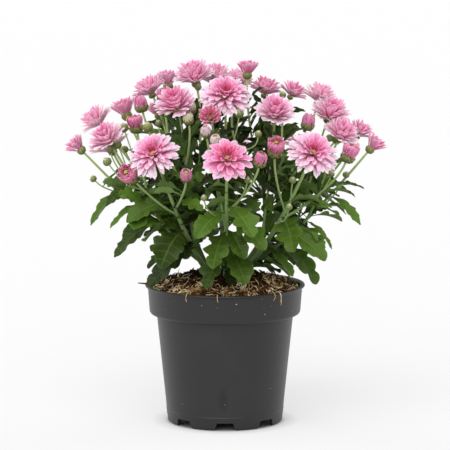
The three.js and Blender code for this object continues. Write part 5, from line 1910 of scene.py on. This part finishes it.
# %% Crumbs and chips
Lumps = namedtuple("Lumps", "count smallest largest stretch tones inner")
LUMP_SETS = [
    Lumps(1300, 0.5, 1.5, stretch=(1.0, 0.8, 0.7), tones=(0.0, 0.8), inner=4.0),
    Lumps(220, 1.4, 3.0, stretch=(1.0, 0.8, 0.6), tones=(0.0, 0.5), inner=6.0),
    Lumps(150, 1.0, 2.2, stretch=(2.6, 0.6, 0.3), tones=(0.4, 1.0), inner=20.0),
]
DENTS = (0.65, 1.3)
WALL_GAP = 0.5
ball = bmesh.new()
bmesh.ops.create_icosphere(ball, subdivisions=1, radius=1.0)
BALL_POINTS = np.array([vertex.co for vertex in ball.verts])
BALL_FACES = np.array([[vertex.index for vertex in face.verts] for face in ball.faces])
ball.free()


def add_lumps(shape, places, sizes, stretch, tones, finish):
    """Irregular lumps, each with its own turn and its own dents."""
    count = len(places)
    first = unit(soil_draw.normal(size=(count, 3)))
    second = unit(np.cross(first, soil_draw.normal(size=(count, 3))))
    frames = np.stack([first, second, np.cross(first, second)], 1)
    dents = soil_draw.uniform(*DENTS, (count, len(BALL_POINTS), 1))
    corners = BALL_POINTS * dents * np.array(stretch)
    points = places[:, None] + sizes[:, None, None] * np.einsum("kij,kjl->kil", corners, frames)
    steps = np.arange(count)[:, None, None] * len(BALL_POINTS)
    faces = (BALL_FACES + steps).reshape(-1, 3)
    shape.add(points, [faces], finish, tone=np.repeat(tones, len(BALL_POINTS)))


for lumps in LUMP_SETS:
    radius = np.sqrt(soil_draw.uniform(lumps.inner**2, (SOIL_EDGE - WALL_GAP) ** 2, lumps.count))
    bearing = soil_draw.uniform(0, FULL_TURN, lumps.count)
    x, y = radius * np.cos(bearing), radius * np.sin(bearing)
    places = np.stack([x, y, soil_top(x, y)], -1)
    sizes = lumps.smallest * (lumps.largest / lumps.smallest) ** soil_draw.uniform(0, 1, lumps.count)
    # Crumbs also darken toward the middle: they are damper there, and painted shade stands for the leaves'
    # shadow.
    tones = soil_draw.uniform(*lumps.tones, lumps.count) * dryness_and_light(places)
    add_lumps(soil_shape, places, sizes, lumps.stretch, tones, SOIL_PEAT)
print("crumbs and chips:", sum(lumps.count for lumps in LUMP_SETS))

# %% [markdown]
# ## Fibres
# Coconut fibres lie in loose tufts, most of them toward the front of the rim, where watering has
# washed the fine peat away. Each fibre is a thin three-sided tube along its own curve, and a
# tuft's fibres share a shade. Blender's hair would make them in a moment, but an exported model
# drops it. Real fibres are two tenths of a millimetre thick. Most of these are two to four times
# that, so that they show.

# %% Fibre rule
STRAND_STEPS = np.linspace(0, 1, 7)
STRAND_SIDES = 3
STRAND_SIDE = unit(np.array([0.3, 0.2, 1.0]))
THINNEST = 0.35
TAPER = (0.1, 0.8)


def add_strand(shape, controls, radius, tone, finish):
    """A thin three-sided tube that tapers to both ends, along a curve."""
    shares = STRAND_STEPS[:, None]
    first, span = TAPER
    swell = np.sin(math.pi * (first + span * STRAND_STEPS))
    radii = radius * (THINNEST + (1 - THINNEST) * swell)
    centres = bezier(controls, shares)
    along = bezier_direction(controls, shares)
    points, faces = tube(centres, along, radii, STRAND_SIDE, STRAND_SIDES)
    shape.add(points, faces, finish, tone=tone)


print("points of a fibre:", len(STRAND_STEPS) * STRAND_SIDES)

# %% Fibres
FIBRE_COUNT = 1250
TUFT_COUNT = 90
TUFT_SPREAD = 3.5
TUFT_INSET = 4
TUFT_TONES = [0.0, 0.1, 0.3, 0.7, 1.1]
TONE_SWAY = 0.15
FRONT_SHARE = 0.72
FRONT_BEARINGS = (-2.9, -0.24)
FRONT_DEPTH, USUAL_DEPTH = 8, 16
FIBRE_LENGTHS = (3, 12)
FIBRE_RADII = (0.16, 0.46)
FIBRE_BENDS = 3
FIBRE_CURL = 0.9
FIBRE_LIFT = 0.2
FIBRE_HUMPS = (0.8, 1.6)
FIBRE_GAP = 0.6

tufts = []
for _ in range(TUFT_COUNT):
    front = soil_draw.uniform() < FRONT_SHARE
    bearing = soil_draw.uniform(*(FRONT_BEARINGS if front else (-math.pi, math.pi)))
    depth = abs(soil_draw.normal(0, FRONT_DEPTH if front else USUAL_DEPTH))
    radius = SOIL_EDGE - TUFT_INSET - depth
    tufts.append((radius * math.cos(bearing), radius * math.sin(bearing), soil_draw.choice(TUFT_TONES)))

for _ in range(FIBRE_COUNT):
    x, y, tuft_tone = tufts[soil_draw.integers(TUFT_COUNT)]
    x, y = soil_draw.normal((x, y), TUFT_SPREAD)
    foot = np.array([x, y, soil_top(x, y) + FIBRE_LIFT])
    length = soil_draw.uniform(*FIBRE_LENGTHS)
    turn = soil_draw.uniform(0, FULL_TURN)
    bends = turn + np.cumsum(soil_draw.normal(0, FIBRE_CURL, FIBRE_BENDS))
    level = np.zeros(FIBRE_BENDS)
    steps = np.stack([np.cos(bends), np.sin(bends), level], -1) * length / FIBRE_BENDS
    controls = foot + np.concatenate([np.zeros((1, 3)), np.cumsum(steps, 0)])
    reach = np.hypot(controls[:, 0], controls[:, 1])
    controls[:, :2] *= np.minimum(1, (SOIL_EDGE - FIBRE_GAP) / reach)[:, None]
    humps = abs(soil_draw.normal(*FIBRE_HUMPS, FIBRE_BENDS))
    controls[1:, 2] = soil_top(controls[1:, 0], controls[1:, 1]) + humps
    tone = tuft_tone + soil_draw.normal(0, TONE_SWAY)
    add_strand(soil_shape, list(controls), soil_draw.uniform(*FIBRE_RADII), tone, SOIL_FIBRE)
print("fibres:", FIBRE_COUNT, "in tufts:", TUFT_COUNT)

# %% [markdown]
# ## Over the rim, a twig and moss
# A few fibres hang over the rim, and one twig pokes out past it. They are placed one by one, because they
# break the pot's clean outline where the eye looks first. Moss is made of short thin slivers that crowd
# together in a few patches near the wall, where light reaches the soil.

# %% Fibres over the rim and a twig
Overhang = namedtuple("Overhang", "bearing low reach")
OVER_RIM = [
    Overhang(-49.0, 95.0, 4.0), Overhang(-47.0, 97.5, 3.0), Overhang(-52.0, 99.0, 3.0),
    Overhang(-96.0, 100.0, 2.5), Overhang(-118.0, 99.0, 2.5),
]
# Where such a fibre starts, rises and passes over the lip, as radius and height, and where it hangs.
FROM_SOIL, OVER_WALL, PAST_LIP = (54, 102.5), (58, 108), (61, 104)
HANGING = 60.4
OVERHANG_SWAY = 3
OVERHANG_RADIUS, OVERHANG_TONE = 0.3, 0.85
for bearing, low, reach in OVER_RIM:
    out, side = around(math.radians(bearing))
    side = side * soil_draw.uniform(-OVERHANG_SWAY, OVERHANG_SWAY)
    controls = [
        out * FROM_SOIL[0] + UP * FROM_SOIL[1],
        out * OVER_WALL[0] + side + UP * OVER_WALL[1],
        out * (PAST_LIP[0] + reach) + UP * PAST_LIP[1],
        out * HANGING + side + UP * low,
    ]
    add_strand(soil_shape, controls, OVERHANG_RADIUS, OVERHANG_TONE, SOIL_FIBRE)

TWIG = [(-50, -12, 103), (-56, -14, 107), (-60, -16, 106.5), (-65, -18, 107.5)]
TWIG_RADIUS, TWIG_TONE = 0.75, 0.15
add_strand(soil_shape, [np.array(place, float) for place in TWIG], TWIG_RADIUS, TWIG_TONE, SOIL_FIBRE)
print("fibres over the rim:", len(OVER_RIM))

# %% Moss
Patch = namedtuple("Patch", "bearing radius spread count")
MOSS_PATCHES = [Patch(-8, 51, 7, 420), Patch(12, 52, 5, 200), Patch(-168, 50, 6, 160), Patch(-125, 53, 4, 90)]
MOSS_GAP = 1
MOSS_LIFT = 0.4
MOSS_SIZES = (0.5, 1.0)
MOSS_STRETCH = (1.6, 0.45, 0.45)
for patch in MOSS_PATCHES:
    middle = patch.radius * around(math.radians(patch.bearing))[0][:2]
    feet = middle + soil_draw.normal(0, patch.spread / 2, (patch.count, 2))
    reach = np.hypot(feet[:, 0], feet[:, 1])
    feet *= np.minimum(1, (SOIL_EDGE - MOSS_GAP) / reach)[:, None]
    sizes = soil_draw.uniform(*MOSS_SIZES, patch.count)
    places = np.concatenate([feet, soil_top(feet[:, 0], feet[:, 1])[:, None] + MOSS_LIFT], 1)
    tones = soil_draw.uniform(0, 1, patch.count)
    add_lumps(soil_shape, places, sizes, MOSS_STRETCH, tones, SOIL_MOSS)
soil = soil_shape.piece("peat_with_fibres", SOIL_FINISHES, "soil", "soil")
print("soil triangles:", triangles_of(soil))

# %% [markdown]
# ## Crumbs stuck to the pot
# Potting and watering leave crumbs on the pot: many on the collar, a few low down, and hardly any
# between. They could be spots in the pot's material, but a real crumb throws a small shadow. Their
# places follow the pot's own outline, so each one touches the wall.

# %% Crumbs stuck to the pot
Stuck = namedtuple("Stuck", "count low high")
STUCK = [Stuck(34, 87.0, 101.5), Stuck(7, 8.0, 24.0), Stuck(6, 30.0, 80.0)]
OUTER_FROM = 43.4
WALL_HEIGHTS = (3, 102)
STUCK_SIZES = (0.2, 0.45)
STUCK_TONES = (0.5, 1)
STUCK_STRETCH = (1.3, 0.7, 0.6)
outline = rounded(POT_OUTLINE)
lowest, highest = WALL_HEIGHTS
outside = (outline[:, 0] > OUTER_FROM) & (outline[:, 1] > lowest) & (outline[:, 1] < highest)
outer_wall = outline[outside]
outer_wall = outer_wall[: np.argmax(outer_wall[:, 1]) + 1]
stuck_shape = Shape()
for count, low, high in STUCK:
    heights = soil_draw.uniform(low, high, count)
    bearings = soil_draw.uniform(0, FULL_TURN, count)
    radii = np.interp(heights, outer_wall[:, 1], outer_wall[:, 0])
    places = np.stack([radii * np.cos(bearings), radii * np.sin(bearings), heights], -1)
    sizes = soil_draw.uniform(*STUCK_SIZES, count)
    tones = soil_draw.uniform(*STUCK_TONES, count)
    add_lumps(stuck_shape, places, sizes, STUCK_STRETCH, tones, 0)
stuck = stuck_shape.piece("crumbs_on_pot", [FIBRE], "soil")
print("stuck crumbs:", sum(group.count for group in STUCK), "triangles:", triangles_of(stuck))
